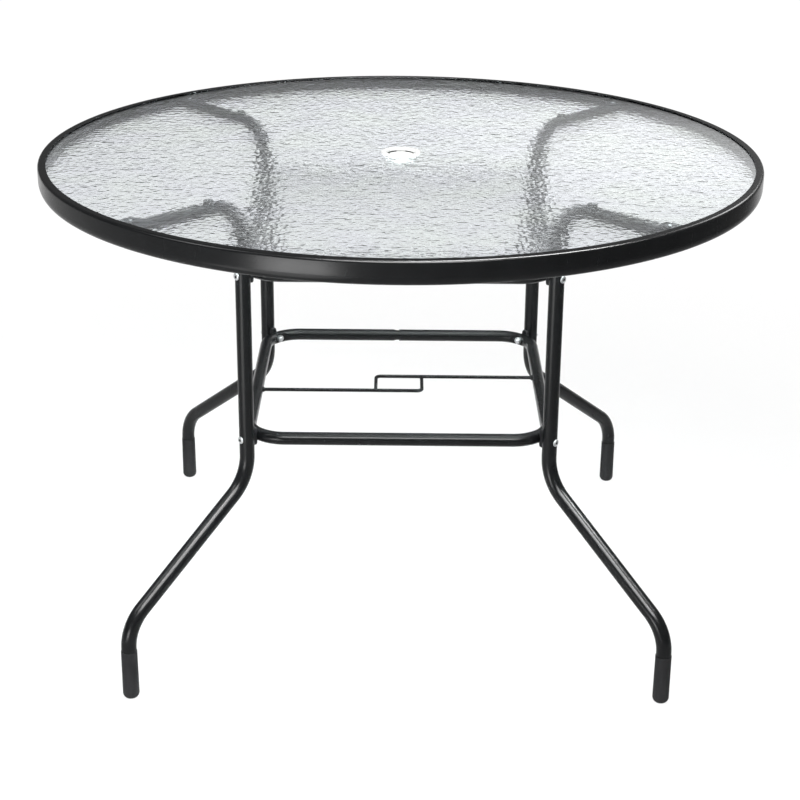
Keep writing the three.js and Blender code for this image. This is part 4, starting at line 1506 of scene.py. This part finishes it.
@dataclass
class Brackets:
    """Angle tabs of bent sheet that carry the rim on the ends of the arms, and the rubber pads."""

    sheet: float = 2 * MM
    width: float = 22 * MM
    bend: float = 2.5 * MM
    reach: float = 34 * MM
    foot_radius: float = 4 * MM
    step: float = 0.5 * MM
    least_half_width: float = 1.0 * MM
    pad_circle: float = 369 * MM
    pad_radius: float = 7 * MM
    pad_under: tuple[float, ...] = (0.3, 0.6, 0.85, 0.96, 1.0)
    pad_over: tuple[Pair, ...] = (
        (1.0, 0.6 * MM), (0.97, 0.25 * MM), (0.88, 0.0), (0.6, 0.0), (0.3, 0.0))
    pad_facets: int = 48

    def _bracket(self, corner: Corner) -> MeshMaker:
        """The bracket of one corner, as a strip that narrows to round ends."""
        low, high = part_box(f"rim_bracket_{corner.label}")
        back = max(math.hypot(x, y) for x in (low.x, high.x) for y in (low.y, high.y)) - self.width / 2
        half = self.sheet / 2
        tip = back - self.reach
        middle = rounded([
            (back - half, low.z, 0), (back - half, high.z - half, self.bend), (tip, high.z - half, 0),
        ], closed=False, steps=8)
        dense = self._dense(middle)
        outline = sheet_outline(dense, self.sheet)
        rings = []
        for i, point in enumerate(dense):
            inner, outer = outline[i], outline[-2 - i]
            half_width = self._half_width(point, low.z, tip)
            rings.append([Vector((x, y, z)) for (x, z), y in (
                (inner, -half_width), (inner, half_width), (outer, half_width), (outer, -half_width))])
        maker = MeshMaker().add_grid(rings, corner.turn, closed=False)
        last = len(maker.points) - 4
        maker.faces += [(0, 1, 2, 3), (last + 3, last + 2, last + 1, last)]
        return maker

    def _dense(self, middle: Sequence[Pair]) -> list[Pair]:
        """The same line, with its points no further apart than one step."""
        points = [middle[0]]
        for (x0, y0), (x1, y1) in zip(middle, middle[1:]):
            count = max(1, math.ceil(math.hypot(x1 - x0, y1 - y0) / self.step))
            points += [(x0 + (x1 - x0) * i / count, y0 + (y1 - y0) * i / count) for i in range(1, count + 1)]
        return points

    def _half_width(self, point: Pair, bottom: float, tip: float) -> float:
        """Half the strip's width at a point, less at its round ends."""
        full = self.width / 2
        from_tip = point[0] - tip
        if from_tip < full:
            return max(self.least_half_width, math.sqrt(max(0.0, full**2 - (full - from_tip) ** 2)))
        from_foot = point[1] - bottom
        if from_foot < self.foot_radius:
            drop = self.foot_radius - from_foot
            return full - self.foot_radius + math.sqrt(max(0.0, self.foot_radius**2 - drop**2))
        return full

    def build(self) -> None:
        """Makes the brackets and pads."""
        for corner in Corner:
            name = f"rim_tab_{corner.label}"
            show(name, self._bracket(corner).mesh(name), BLACK_PAINT, [f"rim_bracket_{corner.label}"])
            self._pad(corner)

    def _pad(self, corner: Corner) -> None:
        """Makes the rubber pad of one corner, which sits on the arm like a saddle."""
        _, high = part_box(f"glass_pad_{corner.label}")
        hollow = STOCK.leg.radius + FIT_GAP
        rings = [self._pad_ring(share, lambda y: Legs.arm_height + math.sqrt(hollow**2 - y**2))
                 for share in self.pad_under]
        for share, drop in self.pad_over:
            rings.append(self._pad_ring(share, lambda _: high.z - drop))
        name = f"rubber_pad_{corner.label}"
        mesh = MeshMaker().add_grid(rings, corner.turn).mesh(name)
        show(name, mesh, RUBBER, [f"glass_pad_{corner.label}"])

    def _pad_ring(self, share: float, height: Callable[[float], float]) -> list[Vector]:
        """A ring of the pad, at a height that depends on its place across the arm."""
        ring = []
        for angle in full_turn(self.pad_facets):
            y = share * self.pad_radius * math.sin(angle)
            ring.append(Vector((self.pad_circle + share * self.pad_radius * math.cos(angle), y, height(y))))
        return ring


@dataclass(frozen=True)
class Softbox:
    """A rectangular lamp, aimed at a point, that may be seen in gloss alone."""

    name: str
    place: Triple
    aim: Triple
    width: float
    depth: float
    power: float
    gloss_only: bool = False


@dataclass
class Studio:
    """White floor and surroundings, soft lamps, and the camera of the photograph."""

    camera_distance: float = 2.6330
    camera_height: float = 1.38738
    pitch: float = 0.388277
    roll: float = 0.009425
    pan: float = 0.00082
    focal_pixels: float = 1805.75
    picture_pixels: float = 800.0
    sensor_width: float = 36.0
    view_depth: float = 100.0
    ambient: float = 0.45
    glass_shade: float = 0.84
    glass_band: Pair = (0.25, 0.55)
    gloss_shade: float = 0.15
    gloss_side: float = 4.2
    gloss_band: Pair = (0.215, 0.29)
    gloss_band_edges: Pair = (60.0, 25.0)
    floor_radius: float = 30.0
    floor_facets: int = 64
    floor_paint: float = 0.8
    floor_white: float = 1.03
    floor_glow: float = 0.83
    floor_ahead: float = 0.47
    floor_slope: float = 0.34
    floor_range: Pair = (0.3, 1.2)
    floor_turn: float = 0.2
    floor_turn_slope: float = 0.85
    floor_spread: float = 1.25
    floor_behind: float = 0.92
    behind_slope: float = 0.55
    behind_start: float = 0.97
    leftward_most: float = 0.8
    leftward_slope: float = 0.5
    far_slope: float = 0.9
    far_start: float = 0.95
    lamps: tuple[Softbox, ...] = field(default=(
        Softbox("high_front", (0, -1.9, 2.75), (0, 0, 0.5), 1.8, 2.0, 95.0),
        Softbox("high_left", (-2.4, -0.8, 3.0), (0, 0, 0.5), 1.2, 1.2, 34.0),
        Softbox("front_strip", (0, -1.7, 2.65), (0, 0, 0.4), 1.6, 0.3, 75.0, gloss_only=True),
        Softbox("bar_strip", (0.3, -2.1, 2.05), (0.1, -0.2, 0.35), 1.5, 0.32, 32.0, gloss_only=True),
        Softbox("lip_strip", (0.9, -0.3, 2.6), (0.9, -0.3, 0.0), 1.8, 0.45, 250.0, gloss_only=True),
        Softbox("back_right_strip", (1.9, 2.1, 2.2), (0.4, -0.2, 0.7), 1.2, 0.8, 24.0, gloss_only=True),
        Softbox("low_front_left", (-1.0, -1.95, 0.2), (-0.13, -0.52, 0.69), 0.75, 0.42, 11.5),
        Softbox("floor_front_left", (-0.85, -1.3, 0.01), (-0.85, -1.3, 1.0), 0.9, 0.8, 5.5),
    ))

    def build(self) -> None:
        """Makes the studio."""
        self._camera()
        self._world()
        self._floor()
        for lamp in self.lamps:
            self._lamp(lamp)
        bpy.context.scene.view_settings.view_transform = "Standard"

    def _camera(self) -> None:
        """Places the camera."""
        data = bpy.data.cameras.new("camera")
        data.sensor_width = self.sensor_width
        data.lens = self.focal_pixels / self.picture_pixels * self.sensor_width
        data.clip_end = self.view_depth
        level = Vector((math.cos(self.pan), -math.sin(self.pan), 0))
        forward = Vector((math.sin(self.pan) * math.cos(self.pitch),
                          math.cos(self.pan) * math.cos(self.pitch), -math.sin(self.pitch)))
        upright = level.cross(forward)
        right = math.cos(self.roll) * level + math.sin(self.roll) * upright
        up = right.cross(forward)
        camera = add_object("camera", data)
        axes = Matrix((right, up, -forward)).transposed().to_4x4()
        camera.matrix_world = Matrix.Translation((0, -self.camera_distance, self.camera_height)) @ axes
        bpy.context.scene.camera = camera

    @staticmethod
    def _rays(sheet: NodeSheet, *kinds: str) -> Signal:
        """1 for rays of these kinds, and 0 for others."""
        path = sheet.add("ShaderNodeLightPath").outputs
        first, *others = (Signal(sheet, path[kind]) for kind in kinds)
        return sum(others, first).math("MINIMUM", 1.0)

    def _world(self) -> None:
        """Makes the surroundings: white to look at, soft as light, dark in gloss but for one band."""
        world = bpy.data.worlds.new("studio")
        world.use_nodes = True
        world.node_tree.nodes.clear()
        bpy.context.scene.world = world
        sheet = NodeSheet(world.node_tree)
        side, _, height = sheet.axes(sheet.result("ShaderNodeTexCoord", output="Generated"))
        start, end = self.glass_band
        low = ((end - height) * (1 / (end - start))).held()
        in_glass = self.glass_shade + (1 - self.glass_shade) * low
        right = (side * self.gloss_side).held()
        bottom, top = self.gloss_band
        bottom_edge, top_edge = self.gloss_band_edges
        band = ((top - height) * top_edge).held() * ((height - bottom) * bottom_edge).held()
        in_gloss = self.gloss_shade + (1 - self.gloss_shade) * right * band
        passed = self._rays(sheet, "Is Transmission Ray")
        glossy = self._rays(sheet, "Is Glossy Ray") * (1 - passed)
        lit = self.ambient + (in_gloss - self.ambient) * glossy + (in_glass - self.ambient) * passed
        strength = lit + (1 - lit) * self._rays(sheet, "Is Camera Ray")
        light = sheet.result("ShaderNodeBackground", {}, {"Color": (1, 1, 1, 1), "Strength": strength})
        sheet.add("ShaderNodeOutputWorld", {}, {"Surface": light})

    def _floor(self) -> None:
        """Makes a wide white floor, dimmer in gloss in front and brighter through glass behind."""
        sheet = MaterialSheet("studio_floor")
        seen = self._rays(sheet, "Is Camera Ray", "Is Glossy Ray", "Is Transmission Ray")
        direct = self._rays(sheet, "Is Camera Ray", "Is Transmission Ray")
        across, along, _ = sheet.axes(sheet.place)
        turn = self.floor_turn + self.floor_spread * across.math("ABSOLUTE")
        ahead = ((turn - along) * self.floor_turn_slope).held()
        side = (1 - across * self.floor_slope).between(*self.floor_range)
        mirrored = 1 - (1 - self.floor_ahead * side) * ahead
        behind = (along * self.behind_slope - self.behind_start).held()
        leftward = (self.leftward_most + self.leftward_slope * across).between(0.0, self.leftward_most)
        through = self._rays(sheet, "Is Transmission Ray")
        bright = self.floor_white + self.floor_behind * behind * leftward * through
        strength = mirrored + (bright - mirrored) * direct
        glow = sheet.result("ShaderNodeEmission", {}, {"Color": (1, 1, 1, 1), "Strength": strength})
        paint = sheet.principled({"Base Color": (*[self.floor_paint] * 3, 1.0), "Roughness": 0.9,
                                  "Specular IOR Level": 0.0})
        reach = sheet.number("ShaderNodeVectorMath", {"operation": "LENGTH"}, {0: sheet.place}, "Value")
        far = (reach * self.far_slope - self.far_start).held()
        share = seen * (self.floor_glow + (1 - self.floor_glow) * far)
        surface = sheet.result("ShaderNodeMixShader", {}, {0: share, 1: paint, 2: glow})
        rings = [Station(0, 0, 1), Station(self.floor_radius, 0, self.floor_facets)]
        mesh = MeshMaker().turn_rings(rings, closed=False).mesh("floor")
        mesh.materials.append(sheet.finish(surface))
        floor = add_object("floor", mesh)

    @staticmethod
    def _lamp(lamp: Softbox) -> None:
        """Hangs one lamp."""
        data = bpy.data.lights.new(lamp.name, "AREA")
        data.shape = "RECTANGLE"
        data.size, data.size_y = lamp.width, lamp.depth
        data.energy = lamp.power
        light = add_object(lamp.name, data)
        light.visible_transmission = False
        light.visible_diffuse = not lamp.gloss_only
        light.location = lamp.place
        way = Vector(lamp.aim) - Vector(lamp.place)
        light.rotation_euler = way.to_track_quat("-Z", "Y").to_euler()


def main() -> None:
    """Builds the studio and dresses every piece of the table."""
    logging.basicConfig(level=logging.INFO, format="%(name)s: %(message)s")
    recipes = Recipes()
    parts = [Studio(), Rim(), GlassTop(recipes), UmbrellaRing(), Legs(recipes), FootCaps(),
             Braces(recipes), GuideWires(recipes), Saddles(), Fasteners(recipes), Brackets()]
    for part in parts:
        part.build()
        LOG.info("%s is done", type(part).__name__)


if __name__ == "__main__":
    main()
